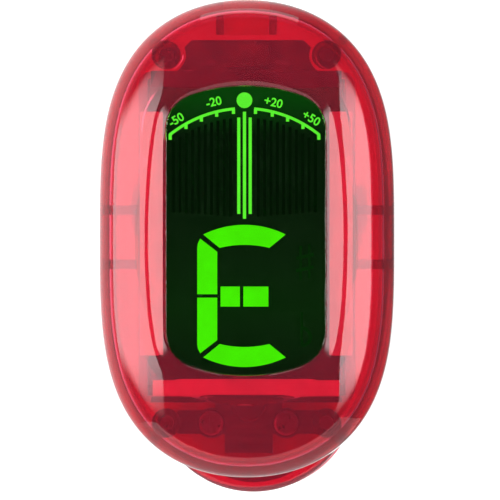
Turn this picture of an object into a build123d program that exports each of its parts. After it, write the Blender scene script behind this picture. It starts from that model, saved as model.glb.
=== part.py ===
from build123d import *
import os
from math import atan2, copysign, cos, pi, radians, sin, sqrt

# Clip-on instrument tuner: a translucent oval head on a two-hinge arm, carried by a sprung clip.
#
# Millimetres.  Everything is modelled in head coordinates and moved to the part frame at export.
# Head coordinates: X to the player's right, Y from the face to the back, Z up, with Z = 0 at half
# the head's height and Y = 0 at the crown of the face.  The part frame has the same directions and
# its origin on the gripping face of the clip's fixed pad.

# --- driving dimensions -------------------------------------------------------------------------
HEAD_HALF_WIDTH = 15.4
HEAD_HALF_HEIGHT = 24.9
HEAD_POWER_X = 2.1          # exponents of the head's oval: |x/a|^px + |z/b|^pz = 1
HEAD_POWER_Z = 3.4
OVAL_POINTS = 48
WALL = 1.3                  # moulded wall of both shells
PARTING = 8.2               # Y of the joint between the shells
BACK = 14.8                 # Y of the flat back
CROWN_RADIUS = 40.0         # face crown across the width
CROWN_RADIUS_LONG = 150.0   # face crown along the height
FACE_FILLET = 2.4
BACK_FILLET = 3.4
CAVITY_FILLET = 1.0

WINDOW_HALF_WIDTH = 8.4
WINDOW_HALF_HEIGHT = 15.15
WINDOW_END_RADIUS = 16.9
WINDOW_CORNER_RADIUS = 3.9
WINDOW_Z = 0.8
BEVEL_WIDTH = 2.1           # sloping frame around the window, measured at the sides
BEVEL_SLOPE = 0.33
SIDE_RIBS = (2.95, -2.7)         # Z of the short ribs on both side walls
LENS_FRONT = 2.0
LENS_BACK = 3.0
FIT = 0.05                  # radial or side clearance of moving and slip fits

LCD_HALF_WIDTH = 10.2
LCD_BOTTOM = -15.3
LCD_TOP = 16.4
LCD_FRONT = 3.6
LCD_BACK = 5.6
GUIDE_BACK = 7.4
BOARD_FRONT = 7.6
BOARD_BACK = 8.6
BOARD_HALF_WIDTH = 10.8
BOARD_BOTTOM = -16.8
BOARD_TOP = 20.7
CHASSIS_HALF_WIDTH = 11.2
CHASSIS_FRONT = 4.4
CHASSIS_WALL = 0.7
CHASSIS_BOTTOM = -17.1
CHASSIS_TOP = 17.4

CELL_RADIUS = 10.0          # coin cell, 20 mm by 3.2 mm
CELL_THICKNESS = 3.2
CELL_FRONT = 10.1
CELL_Z = 3.0
DOOR_RADIUS = 11.2
DOOR_THICKNESS = 1.3
SEAT_INNER = 10.2
SEAT_OUTER = 12.3
LUG_REACH = 0.75
LUG_HALF_ANGLE = 12.0
DOOR_TURN = 45.0

TOP_BOSS = (8.3, 19.1)
LOW_BOSS = (8.3, -19.2)
PLATE_SCREW = (3.9, -19.3)
BOSS_RADIUS = 1.5
SCREW_RADIUS = 0.7
SCREW_HEAD_RADIUS = 1.3
PIEZO = (7.2, -11.9)
PLATE_FRONT = 11.1
PLATE_BACK = 12.1

BUTTON_HALF_WIDTH = 2.3
BUTTON_FRONT = 5.4
BUTTON_BACK = 8.1
BUTTON_TOP = 24.7
BUTTON_FOOT = 21.2

SWIVEL_Z = -17.3
SPINDLE_RADIUS = 1.8
SWIVEL_DISC_RADIUS = 4.3
SWIVEL_DISC_FRONT = 14.95
SWIVEL_DISC_BACK = 16.2
TILT_AXIS = (19.5, SWIVEL_Z)    # (Y, Z) of the hinge between yoke and arm
ARM_AXIS = (21.6, 8.2)          # (Y, Z) of the hinge between arm and clip
EAR_RADIUS = 2.3
TILT_EARS = (2.5, 4.2)          # X span of each yoke ear
ARM_EARS = (4.1, 6.3)           # X span of each clip ear
HINGE_SCREW_RADIUS = 0.9

LEVER_OUTER = 24.6              # Y of the fixed lever's outer face
LEVER_THICKNESS = 2.2
LEVER_HALF_WIDTH = 10.7
LEVER_TIP = -26.7
LEVER_TOP = 10.0
PAD_THICKNESS = 1.6
PAD_HALF_WIDTH = 7.6
PAD_TIP = -25.7
PAD_TOP = -9.6
JAW_GAP = 5.0
CLIP_PIVOT_Z = -1.0
LUG_RADIUS = 2.4
FIXED_LUGS = (6.3, 8.3)         # X span of each pivot lug on the fixed lever
MOVING_LUGS = (4.1, 6.1)
PIN_RADIUS = 1.2
SPRING_RADIUS = 2.1             # coil radius to the middle of the wire
SPRING_WIRE = 0.4
SPRING_TURNS = 6
SPRING_PITCH = 0.95
LEG_LENGTH = 9.0
FRONT_LEG_LEAN = 9.0            # each leg, in degrees from upright
BACK_LEG_LEAN = 26.0
HANDLE_FLARE = 22.0
HANDLE_LENGTH = 12.0
HANDLE_HALF_WIDTH = 8.6
WAIST = -8.0                    # Z where both levers narrow

LEVER_INNER = LEVER_OUTER + LEVER_THICKNESS
PAD_FACE = LEVER_INNER + PAD_THICKNESS
MOVING_PAD_FACE = PAD_FACE + JAW_GAP
MOVING_INNER = MOVING_PAD_FACE + PAD_THICKNESS
CLIP_PIVOT = ((PAD_FACE + MOVING_PAD_FACE) / 2, CLIP_PIVOT_Z)
ORIGIN = (0.0, PAD_FACE, PAD_TIP + PAD_HALF_WIDTH)


# --- shared builders ----------------------------------------------------------------------------
def slab(sketch, front, back):
    """A sketch drawn in X and Z, made solid from Y = front to Y = back."""
    return extrude(Plane.XZ.offset(-back) * sketch, back - front)


def bar(sketch, left, right):
    """A sketch drawn in Y and Z, made solid from X = left to X = right."""
    return extrude(Plane.YZ.offset(left) * sketch, right - left)


def box(x0, x1, y0, y1, z0, z1):
    """A block between two corners."""
    return Pos((x0 + x1) / 2, (y0 + y1) / 2, (z0 + z1) / 2) * Box(x1 - x0, y1 - y0, z1 - z0)


def disc(x, z, radius, front, back):
    """A round slab along Y."""
    return slab(Pos(x, z) * Circle(radius), front, back)


def axle(axis, radius, left, right):
    """A round bar along X about the (Y, Z) of an axis."""
    return bar(Pos(*axis) * Circle(radius), left, right)


def both_sides(x0, x1, y0, y1, z0, z1):
    """The same block on the right and on the left."""
    return [box(x0, x1, y0, y1, z0, z1), box(-x1, -x0, y0, y1, z0, z1)]


def mirrored(point):
    """A point and its mirror image in the plane X = 0."""
    x, z = point
    return [(x, z), (-x, z)]


def oval(inset=0.0):
    """The head's outline: a superellipse, drawn smaller by inset."""
    a, b = HEAD_HALF_WIDTH - inset, HEAD_HALF_HEIGHT - inset
    points = []
    for k in range(OVAL_POINTS):
        turn = 2 * pi * k / OVAL_POINTS
        c, s = cos(turn), sin(turn)
        x = a * copysign(abs(c) ** (2 / HEAD_POWER_X), c)
        z = b * copysign(abs(s) ** (2 / HEAD_POWER_Z), s)
        points.append((x, z))
    return make_face(Spline(*points, periodic=True))


def window(grow=0.0):
    """The window's outline, made larger by grow: straight sides, round corners and arched ends."""
    side = WINDOW_HALF_WIDTH + grow
    top = WINDOW_HALF_HEIGHT + grow
    corner = WINDOW_CORNER_RADIUS + grow
    end = WINDOW_END_RADIUS + grow
    corner_x = side - corner
    corner_z = top - end + sqrt((end - corner) ** 2 - corner_x**2)
    lean = atan2(corner_z - (top - end), corner_x)
    meet = (end * cos(lean), top - end + end * sin(lean))
    middle = (corner_x + corner * cos(lean / 2), corner_z + corner * sin(lean / 2))
    upper = [
        Line((side, -corner_z), (side, corner_z)),
        ThreePointArc((side, corner_z), middle, meet),
        ThreePointArc(meet, (0, top), (-meet[0], meet[1])),
        ThreePointArc((-meet[0], meet[1]), (-middle[0], middle[1]), (-side, corner_z)),
        Line((-side, corner_z), (-side, -corner_z)),
        ThreePointArc((-side, -corner_z), (-middle[0], -middle[1]), (-meet[0], -meet[1])),
        ThreePointArc((-meet[0], -meet[1]), (0, -top), (meet[0], -meet[1])),
        ThreePointArc((meet[0], -meet[1]), (middle[0], -middle[1]), (side, -corner_z)),
    ]
    return Pos(0, WINDOW_Z) * make_face(Wire(upper))


def crown(depth=0.0):
    """The barrel whose skin is the curved face, depth millimetres under it."""
    reach = 32.0
    long_radius = CROWN_RADIUS_LONG - depth
    drop = CROWN_RADIUS_LONG - sqrt(long_radius**2 - reach**2)
    profile = [
        ThreePointArc((drop, -reach), (depth, 0), (drop, reach)),
        Line((drop, reach), (CROWN_RADIUS, reach)),
        Line((CROWN_RADIUS, reach), (CROWN_RADIUS, -reach)),
        Line((CROWN_RADIUS, -reach), (drop, -reach)),
    ]
    face = Plane.YZ * make_face(Wire(profile))
    return revolve(face, Axis((0, CROWN_RADIUS, 0), (0, 0, 1)), 360)


def rim_edges(shape, low, high):
    """The curved edges whose middle lies between two Y values."""
    curved = [e for e in shape.edges() if e.geom_type != GeomType.LINE]
    return [e for e in curved if low < e.center(CenterOf.BOUNDING_BOX).Y < high]


def paddle(top):
    """A lever's outline in X and Z: a full round tip, straight sides, a waist and a rounded top."""
    wide, narrow, foot = LEVER_HALF_WIDTH, HANDLE_HALF_WIDTH, LEVER_TIP + LEVER_HALF_WIDTH
    half = [(wide, foot), (wide, WAIST - 3.0), (narrow, WAIST + 3.0), (narrow, top)]
    body = make_face(Polyline(*half, *[(-x, z) for x, z in reversed(half)], close=True))
    body = fillet(body.vertices().group_by(Axis.Y)[1] + body.vertices().group_by(Axis.Y)[2], 6.0)
    body = fillet(body.vertices().group_by(Axis.Y)[-1], 4.0)
    return body + Pos(0, foot) * Circle(wide)


# --- the head -----------------------------------------------------------------------------------
def head_front_block():
    """The solid outer form of the front shell."""
    block = slab(oval(), -1.0, PARTING) & crown()
    return fillet(rim_edges(block, 0.5, PARTING - 1.5), FACE_FILLET)


def front_shell():
    """The front shell, with its window, bosses, button guides and side ribs."""
    top_bosses = [disc(x, z, BOSS_RADIUS, 2.8, BOARD_BACK + 0.2) for x, z in mirrored(TOP_BOSS)]
    low_bosses = [disc(x, z, BOSS_RADIUS, 2.8, PLATE_FRONT - FIT) for x, z in mirrored(LOW_BOSS)]
    inside = [slab(window(BEVEL_WIDTH + 0.4), 0, LENS_BACK)]
    for z in SIDE_RIBS:
        inside += both_sides(CHASSIS_HALF_WIDTH + 0.1, 15.2, 0, PARTING, z - 0.5, z + 0.5)
    inside += both_sides(BUTTON_HALF_WIDTH + FIT, 3.15, 0, PARTING, 21.2, 26.0)
    hollow = slab(oval(WALL), -1.0, PARTING + 1) & crown(WALL)
    hollow = fillet(rim_edges(hollow, 1.5, PARTING - 1.0), CAVITY_FILLET)
    hollow -= [*inside, *top_bosses, *low_bosses]
    cuts = [disc(x, z, SCREW_RADIUS + FIT, 4.2, PLATE_BACK) for x, z in mirrored(TOP_BOSS) + mirrored(LOW_BOSS)]
    cuts += [box(-BUTTON_HALF_WIDTH, BUTTON_HALF_WIDTH, BUTTON_FRONT - FIT, PARTING + 1, 20.0, 27.0)]
    shell = head_front_block() - [bevel_cutter(), slab(window(), 0, LENS_BACK + 1)]
    return shell + [*top_bosses, *low_bosses] - hollow - cuts


def bevel_cutter():
    """What is cut away for the sloping frame that falls from the face to the window's edge."""
    beyond = BEVEL_WIDTH + 1.2
    mouth_y = LENS_FRONT - beyond * BEVEL_SLOPE
    mouth = Plane.XZ.offset(-mouth_y) * window(beyond)
    throat = Plane.XZ.offset(-LENS_FRONT) * window()
    return loft([mouth, throat], ruled=True) + slab(window(beyond), -1, mouth_y)


def back_shell():
    """The back shell, with the battery seat, the spindle hole, screw tubes and side ribs."""
    block = fillet(rim_edges(slab(oval(), PARTING, BACK), BACK - 0.5, BACK + 0.5), BACK_FILLET)
    cavity = slab(oval(WALL), PARTING, BACK - WALL)
    cavity = fillet(rim_edges(cavity, BACK - WALL - 0.5, BACK - WALL + 0.5), BACK_FILLET - WALL)
    inside = [disc(0, CELL_Z, SEAT_OUTER, BACK - WALL - 0.8, BACK)]
    inside += [disc(0, CELL_Z, SEAT_INNER + 0.8, CELL_FRONT - 0.4, BACK)]
    inside += [disc(x, z, BOSS_RADIUS + 0.3, BOARD_BACK + 0.3, BACK - 1) for x, z in mirrored(TOP_BOSS)]
    inside += [disc(x, z, BOSS_RADIUS, PLATE_BACK + FIT, BACK - 1) for x, z in mirrored(LOW_BOSS)]
    inside += [disc(x, z, BOSS_RADIUS - 0.2, PLATE_BACK + FIT, BACK - 1) for x, z in mirrored(PLATE_SCREW)]
    for z in SIDE_RIBS:
        inside += both_sides(CHASSIS_HALF_WIDTH + 0.1, 14.6, PARTING, BACK - 1, z - 0.5, z + 0.5)
    cuts = [disc(0, CELL_Z, SEAT_INNER, PARTING, BACK + 1)]
    cuts += [box(-2.6, 2.6, PARTING + 0.5, BACK - DOOR_THICKNESS - 0.9, CELL_Z + 9.0, CELL_Z + 11.2)]
    cuts += [disc(0, CELL_Z, DOOR_RADIUS + FIT, BACK - DOOR_THICKNESS - FIT, BACK + 1)]
    cuts += [disc(0, SWIVEL_Z, SPINDLE_RADIUS + FIT, BACK - 3, BACK + 1)]
    for x, z in mirrored(TOP_BOSS) + mirrored(LOW_BOSS):
        cuts += [disc(x, z, SCREW_RADIUS + 0.15, PARTING, BACK + 1)]
        cuts += [disc(x, z, SCREW_HEAD_RADIUS + 0.1, BACK - 1.3, BACK + 1)]
    cuts += [disc(x, z, BOSS_RADIUS + 0.1, PARTING, BOARD_BACK + 0.25) for x, z in mirrored(TOP_BOSS)]
    cuts += [disc(x, z, BOSS_RADIUS + 0.1, PARTING, PLATE_FRONT) for x, z in mirrored(LOW_BOSS)]
    cuts += [disc(x, z, SCREW_RADIUS + FIT, PLATE_BACK, BACK - 0.7) for x, z in mirrored(PLATE_SCREW)]
    return block - cavity + inside - cuts - bayonet_track()


def bayonet_track():
    """The two grooves the door's lugs turn in, each with a slot open to the outside at its far end."""
    reach = DOOR_RADIUS + LUG_REACH + 0.1
    low, high = -LUG_HALF_ANGLE - 1, LUG_HALF_ANGLE + 1
    floor = BACK - DOOR_THICKNESS - FIT
    groove = door_lugs(reach, low - DOOR_TURN, high, floor, BACK - 0.6)
    return groove + door_lugs(reach, low - DOOR_TURN, high - DOOR_TURN, floor, BACK + 1)


def door_lugs(reach, start, end, front, back):
    """Two opposite ring sectors that the battery door's lugs fill, or sweep, from start to end degrees."""
    lugs = []
    for base in (0.0, 180.0):
        mid = radians(base + (start + end) / 2)
        half = (end - start) / 2
        length = reach + 1
        a, b = radians(base + start), radians(base + end)
        wedge = make_face(Polyline(
            (0, 0), (length * cos(a), length * sin(a)),
            (length / cos(radians(half)) * cos(mid), length / cos(radians(half)) * sin(mid)),
            (length * cos(b), length * sin(b)), close=True))
        ring = Circle(reach) - Circle(DOOR_RADIUS - 0.6)
        lugs.append(slab(Pos(0, CELL_Z) * (ring & wedge), front, back))
    return lugs[0] + lugs[1]


def battery_door():
    """The round bayonet door, with a coin slot on its outside and two lugs that hold it."""
    door = disc(0, CELL_Z, DOOR_RADIUS, BACK - DOOR_THICKNESS, BACK)
    door += door_lugs(DOOR_RADIUS + LUG_REACH, -LUG_HALF_ANGLE, LUG_HALF_ANGLE, BACK - DOOR_THICKNESS, BACK - 0.7)
    slot = SlotOverall(13.0, 1.8, rotation=90)
    door -= slab(Pos(0, CELL_Z) * slot, BACK - 0.6, BACK + 1)
    return door


def window_lens():
    """The clear lens: a plug that fills the window and a flange glued behind the shell's land."""
    plug = slab(window(-FIT), LENS_FRONT + 0.1, LENS_BACK + 0.2)
    flange = slab(window(1.0), LENS_BACK + 0.02, LENS_BACK + 0.5)
    return plug + flange


def lcd_glass():
    """The liquid crystal cell: a front glass and a taller rear glass that carries the contacts."""
    middle = (LCD_FRONT + LCD_BACK) / 2
    front = box(-LCD_HALF_WIDTH, LCD_HALF_WIDTH, LCD_FRONT, middle, LCD_BOTTOM, LCD_TOP)
    rear = box(-LCD_HALF_WIDTH, LCD_HALF_WIDTH, middle, LCD_BACK, LCD_BOTTOM, LCD_TOP + 0.2)
    return front + rear


def light_guide():
    """The backlight's acrylic plate, wedge-cut at the edge that faces the lamps."""
    plate = box(-LCD_HALF_WIDTH, LCD_HALF_WIDTH, LCD_BACK + 0.05, GUIDE_BACK, LCD_BOTTOM + 0.6, LCD_TOP - 2.2)
    return chamfer(plate.edges().filter_by(Axis.X).group_by(Axis.Z)[-1], 0.4)


def lcd_chassis():
    """The moulded frame that holds the glass and the light guide on the board."""
    outer = box(-CHASSIS_HALF_WIDTH, CHASSIS_HALF_WIDTH, CHASSIS_FRONT, BOARD_FRONT - FIT,
                CHASSIS_BOTTOM, CHASSIS_TOP)
    outer = fillet(outer.edges().filter_by(Axis.Y), 1.4)
    inner = box(-LCD_HALF_WIDTH - 0.1, LCD_HALF_WIDTH + 0.1, 0, BOARD_FRONT + 1,
                CHASSIS_BOTTOM + CHASSIS_WALL, CHASSIS_TOP - CHASSIS_WALL)
    return outer - inner


def zebra_strip():
    """The rubber contact strip between the glass's ledge and the board."""
    return box(-9.0, 9.0, LCD_BACK + 0.02, BOARD_FRONT - 0.02, LCD_TOP - 1.9, LCD_TOP - 0.1)


def circuit_board():
    """The board, narrower at its top, cut round behind the upper bosses."""
    outline = make_face(Polyline(
        (-BOARD_HALF_WIDTH, BOARD_BOTTOM), (BOARD_HALF_WIDTH, BOARD_BOTTOM), (BOARD_HALF_WIDTH, 14.0),
        (9.6, 17.0), (5.8, BOARD_TOP), (-5.8, BOARD_TOP), (-9.6, 17.0), (-BOARD_HALF_WIDTH, 14.0), close=True))
    for x, z in mirrored(TOP_BOSS):
        outline -= Pos(x, z) * Circle(BOSS_RADIUS + 0.4)
    return slab(outline, BOARD_FRONT, BOARD_BACK)


def controller_chip():
    """The black resin drop over the bonded controller."""
    drop = Pos(0, BOARD_BACK, -13.0) * Sphere(3.6)
    drop = Pos(0, -2.6, 0) * drop
    return drop & box(-5, 5, BOARD_BACK + 0.01, BOARD_BACK + 1.0, -18, -8.5)


def quartz_crystal():
    """The quartz crystal's small can, lying on the board."""
    can = bar(Pos(BOARD_BACK + 1.02, 17.0) * Circle(1.0), -3.0, 3.0)
    return fillet(can.edges(), 0.2)


def smd_parts():
    """The resistors and capacitors beside the controller."""
    chips = []
    for column in (-8.6, -6.6, 6.6, 8.6):
        for z in (-15.4, -13.6, -11.8, -10.0):
            chips.append(box(column - 0.8, column + 0.8, BOARD_BACK + 0.01, BOARD_BACK + 0.56, z - 0.4, z + 0.4))
    return Compound(children=chips)


def backlight_leds():
    """Three side-firing lamps at the light guide's foot."""
    lamps = [box(x - 1.2, x + 1.2, LCD_BACK + 0.3, BOARD_FRONT - 0.02, CHASSIS_BOTTOM + CHASSIS_WALL + 0.1,
                 LCD_BOTTOM + 0.5) for x in (-6.0, 0.0, 6.0)]
    return Compound(children=lamps)


def tact_switch():
    """The side-acting switch behind the button, with its short plunger."""
    body = box(-2.2, 2.2, 5.7, BOARD_FRONT - 0.02, 18.2, 20.2)
    plunger = box(-0.9, 0.9, 6.1, 7.2, 20.1, 20.7)
    return body + plunger


def piezo_disc():
    """The vibration pick-up: a brass disc and its smaller ceramic disc, inside the back shell."""
    x, z = PIEZO
    brass = disc(x, z, 3.3, BACK - WALL - 0.25, BACK - WALL - 0.02)
    return brass + disc(x, z, 2.4, BACK - WALL - 0.45, BACK - WALL - 0.25)


def friction_ring():
    """The rubber ring round the spindle that gives the head's turning its drag."""
    ring = Circle(2.9) - Circle(SPINDLE_RADIUS + FIT)
    return slab(Pos(0, SWIVEL_Z) * ring, PLATE_BACK + 0.02, BACK - WALL - 0.02)


def battery_cell():
    """The coin cell: the wide can and the smaller negative cap that faces the board."""
    can = disc(0, CELL_Z, CELL_RADIUS, CELL_FRONT + 0.5, CELL_FRONT + CELL_THICKNESS)
    can = fillet(can.edges().filter_by(GeomType.CIRCLE), 0.35)
    cap = disc(0, CELL_Z, CELL_RADIUS - 1.4, CELL_FRONT, CELL_FRONT + 0.7)
    return can + cap


def battery_minus_contact():
    """The leaf on the board that the cell's cap presses on."""
    foot = box(-2.0, 2.0, BOARD_BACK + 0.01, BOARD_BACK + 0.26, CELL_Z - 6.5, CELL_Z - 4.0)
    rise = CELL_FRONT - 0.02
    leaf = make_face(Polyline(
        (BOARD_BACK + 0.01, CELL_Z - 4.2), (rise - 0.25, CELL_Z + 3.0), (rise - 0.25, CELL_Z + 4.6),
        (rise, CELL_Z + 4.6), (rise, CELL_Z + 3.0), (BOARD_BACK + 0.26, CELL_Z - 4.2), close=True))
    return foot + bar(leaf, -1.5, 1.5)


def battery_plus_contact():
    """The strip beside the cell, from the board up to the can's rim."""
    foot = box(-2.4, 2.4, BOARD_BACK + 0.01, BOARD_BACK + 0.26, CELL_Z + 9.0, CELL_Z + 10.27)
    blade = box(-2.4, 2.4, BOARD_BACK + 0.01, CELL_FRONT + 2.0, CELL_Z + 10.02, CELL_Z + 10.27)
    return foot + blade


def pivot_plate():
    """The steel plate across the head's foot that carries the spindle."""
    strip = Pos(0, LOW_BOSS[1]) * Rectangle(2 * LOW_BOSS[0], 2.5)
    for x, z in mirrored(LOW_BOSS):
        strip += Pos(x, z) * Circle(1.25)
    strip += Pos(0, SWIVEL_Z) * Circle(3.5)
    strip += Pos(0, -21.0) * Rectangle(5.0, 2.9)
    for x, z in mirrored(PLATE_SCREW):
        strip += Pos(x, z) * Circle(1.6)
    for x, z in mirrored(LOW_BOSS) + mirrored(PLATE_SCREW):
        strip -= Pos(x, z) * Circle(SCREW_RADIUS + 0.1)
    strip -= Pos(0, SWIVEL_Z) * Circle(SPINDLE_RADIUS + FIT)
    return slab(strip, PLATE_FRONT, PLATE_BACK)


def screw(x, z, seat, tip, head_height, recess_side):
    """A pan-head screw along Y. recess_side is 1 where the head faces +Y and -1 where it faces -Y."""
    shank = disc(x, z, SCREW_RADIUS, min(seat, tip), max(seat, tip))
    outer = seat + recess_side * head_height
    head = disc(x, z, SCREW_HEAD_RADIUS, min(seat, outer), max(seat, outer))
    head = fillet(rim_edges(head, outer - 0.05, outer + 0.05), 0.3)
    depth = outer - recess_side * 0.45
    cross = Pos(x, z) * (Rectangle(1.5, 0.32) + Rectangle(0.32, 1.5))
    head -= slab(cross, min(depth, outer + recess_side), max(depth, outer + recess_side))
    return shank + head


def case_screws():
    """The four screws that close the shells; the lower two also clamp the pivot plate."""
    points = mirrored(TOP_BOSS) + mirrored(LOW_BOSS)
    return Compound(children=[screw(x, z, BACK - 1.28, 4.6, 0.8, 1) for x, z in points])


def plate_screws():
    """The two screws that hold the pivot plate to the back shell, driven from inside."""
    return Compound(children=[screw(x, z, PLATE_FRONT - 0.02, BACK - 0.9, 0.7, -1) for x, z in mirrored(PLATE_SCREW)])


def power_button():
    """The button in the top edge: a dished cap, and a lip that keeps it inside the shell."""
    half = BUTTON_HALF_WIDTH - 0.1
    cap = box(-half, half, BUTTON_FRONT + FIT, BUTTON_BACK, BUTTON_FOOT, BUTTON_TOP)
    cap = fillet(cap.edges().filter_by(Axis.X).group_by(Axis.Z)[-1], 0.4)
    dish = Pos(0, (BUTTON_FRONT + BUTTON_BACK) / 2, BUTTON_TOP + 9.75) * Rot(90, 0, 0) * Cylinder(10.0, 6)
    return cap - dish + box(-half, half, BUTTON_FRONT - 0.8, BUTTON_FRONT + 1, 21.3, 23.2)


# --- the swivel and the arm ---------------------------------------------------------------------
def ear(axis, radius, base_y, base_low, base_high, span):
    """A rounded ear along X: a disc about the axis, joined to a base line at Y = base_y."""
    y, z = axis
    web = make_face(Polyline((base_y, base_low), (y, z - radius), (y, z + radius), (base_y, base_high), close=True))
    return bar(web + Pos(y, z) * Circle(radius), *span)


def swivel_yoke():
    """The turntable on the head's back: spindle, disc and two hinge ears."""
    yoke = disc(0, SWIVEL_Z, SWIVEL_DISC_RADIUS, SWIVEL_DISC_FRONT, SWIVEL_DISC_BACK)
    yoke += disc(0, SWIVEL_Z, SPINDLE_RADIUS, 9.7, SWIVEL_DISC_FRONT + 0.1)
    y, z = TILT_AXIS
    for span in (TILT_EARS, (-TILT_EARS[1], -TILT_EARS[0])):
        web = ear(TILT_AXIS, EAR_RADIUS, SWIVEL_DISC_BACK - 0.2, z - 2.9, z + 2.9, span)
        yoke += web & disc(0, SWIVEL_Z, SWIVEL_DISC_RADIUS + 0.4, SWIVEL_DISC_FRONT, 24)
    yoke -= axle(TILT_AXIS, HINGE_SCREW_RADIUS + 0.02, -6, 6)
    groove = disc(0, SWIVEL_Z, SPINDLE_RADIUS + 1, 10.3, 10.9) - disc(0, SWIVEL_Z, SPINDLE_RADIUS - 0.5, 10.3, 10.9)
    return yoke - groove


def spindle_clip():
    """The spring clip in the spindle's groove, open on one side."""
    ring = Circle(SPINDLE_RADIUS + 1.0) - Circle(SPINDLE_RADIUS - 0.45)
    ring -= Pos(0, 2.5) * Rectangle(1.6, 5)
    return slab(Pos(0, SWIVEL_Z) * ring, 10.4, 10.8)


def hinge_screw(axis, left, right):
    """A hinge screw along X: a round head on the right, a plain shank to the left."""
    shank = axle(axis, HINGE_SCREW_RADIUS, left, right)
    head = axle(axis, 1.7, right, right + 0.9)
    head = fillet([e for e in head.edges() if e.center().X > right + 0.8], 0.35)
    y, z = axis
    head -= box(right + 0.5, right + 2, y - 1.2, y + 1.2, z - 0.17, z + 0.17)
    return shank + head


def hinge_nut(axis, outer, inner):
    """A hexagonal nut along X, its bore clear of the screw's shank."""
    y, z = axis
    hexagon = Pos(y, z) * (RegularPolygon(1.75, 6) - Circle(HINGE_SCREW_RADIUS + 0.02))
    return bar(hexagon, outer, inner)


def arm_link():
    """The arm: a flat tapered bar with a knuckle at each hinge."""
    (y1, z1), (y2, z2) = TILT_AXIS, ARM_AXIS
    low, high = 2.1, 2.3
    web = make_face(Polyline((y1 - 1.7, z1), (y2 - 1.9, z2), (y2 + 1.9, z2), (y1 + 1.7, z1), close=True))
    knuckles = Pos(y1, z1) * Circle(low) + Pos(y2, z2) * Circle(high)
    spine = bar(web + knuckles, -TILT_EARS[0] + 0.1, TILT_EARS[0] - 0.1)
    wide = bar(make_face(Polyline((y1 - 1.55, z1 + 5.4), (y2 - 1.75, z2 - 3.4), (y2 + 1.75, z2 - 3.4),
                                  (y1 + 1.55, z1 + 5.4), close=True)), -5.0, 5.0)
    wide = fillet(wide.edges().filter_by(Axis.X), 0.8)
    upper = bar(Pos(y2, z2) * Circle(high) + make_face(Polyline(
        (y2 - 1.9, z2), (y2 - 1.85, z2 - 4.2), (y2 + 1.85, z2 - 4.2), (y2 + 1.9, z2), close=True)),
        -ARM_EARS[0] + 0.1, ARM_EARS[0] - 0.1)
    link = spine + wide + upper
    link -= axle(TILT_AXIS, HINGE_SCREW_RADIUS + FIT, -6, 6)
    link -= axle(ARM_AXIS, HINGE_SCREW_RADIUS + FIT, -8, 8)
    return link


# --- the clip -----------------------------------------------------------------------------------
def front_lever():
    """The fixed lever: jaw paddle, two pivot lugs behind it and two ears for the arm in front."""
    plate = slab(paddle(LEVER_TOP), LEVER_OUTER, LEVER_INNER)
    plate = fillet(plate.edges().group_by(Axis.Y)[0], 0.8)
    y, z = CLIP_PIVOT
    for span in (FIXED_LUGS, (-FIXED_LUGS[1], -FIXED_LUGS[0])):
        plate += ear(CLIP_PIVOT, LUG_RADIUS, LEVER_INNER - 0.3, z - 4.5, z + 4.5, span)
    y, z = ARM_AXIS
    for span in (ARM_EARS, (-ARM_EARS[1], -ARM_EARS[0])):
        plate += ear(ARM_AXIS, EAR_RADIUS, LEVER_OUTER + 0.3, z - 3.6, z + 1.7, span)
    plate -= axle(CLIP_PIVOT, PIN_RADIUS + 0.02, -9, 9)
    plate -= axle(ARM_AXIS, HINGE_SCREW_RADIUS + 0.02, -8, 8)
    return plate


def pad(front, back):
    """A rubber jaw pad: a full round tip and a straight top."""
    outline = Pos(0, PAD_TIP + PAD_HALF_WIDTH) * Circle(PAD_HALF_WIDTH)
    outline += Pos(0, (PAD_TIP + PAD_HALF_WIDTH + PAD_TOP) / 2) * Rectangle(
        2 * PAD_HALF_WIDTH, PAD_TOP - PAD_TIP - PAD_HALF_WIDTH)
    return slab(outline, front, back)


def back_lever():
    """The moving lever: jaw paddle, flared thumb handle and two pivot lugs."""
    y, z = CLIP_PIVOT
    inner, outer = MOVING_INNER, MOVING_INNER + LEVER_THICKNESS
    bend = z + 1.0
    flare = radians(HANDLE_FLARE)
    run, rise = HANDLE_LENGTH * sin(flare), HANDLE_LENGTH * cos(flare)
    side = make_face(Polyline(
        (inner, LEVER_TIP - 1), (outer, LEVER_TIP - 1), (outer, bend), (outer + run, bend + rise),
        (outer + run - LEVER_THICKNESS * cos(flare), bend + rise + LEVER_THICKNESS * sin(flare)),
        (inner, bend + LEVER_THICKNESS * sin(flare) / 2), close=True))
    strip = bar(side, -12, 12)
    top = bend + rise + LEVER_THICKNESS * sin(flare)
    plate = strip & slab(paddle(top), inner - 5, outer + 10)
    for span in (MOVING_LUGS, (-MOVING_LUGS[1], -MOVING_LUGS[0])):
        plate += ear(CLIP_PIVOT, LUG_RADIUS, inner + 0.3, z - 4.5, z + 3.0, span)
    return plate - axle(CLIP_PIVOT, PIN_RADIUS + FIT, -9, 9)


def pivot_pin():
    """The clip's pivot pin, riveted over a small head at each end."""
    left, right = -FIXED_LUGS[1] - 0.05, FIXED_LUGS[1] + 0.05
    pin = axle(CLIP_PIVOT, PIN_RADIUS, left - 0.6, right + 0.6)
    for x0, x1 in ((left - 0.6, left), (right, right + 0.6)):
        pin += axle(CLIP_PIVOT, PIN_RADIUS + 0.6, x0, x1)
    return pin


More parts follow.
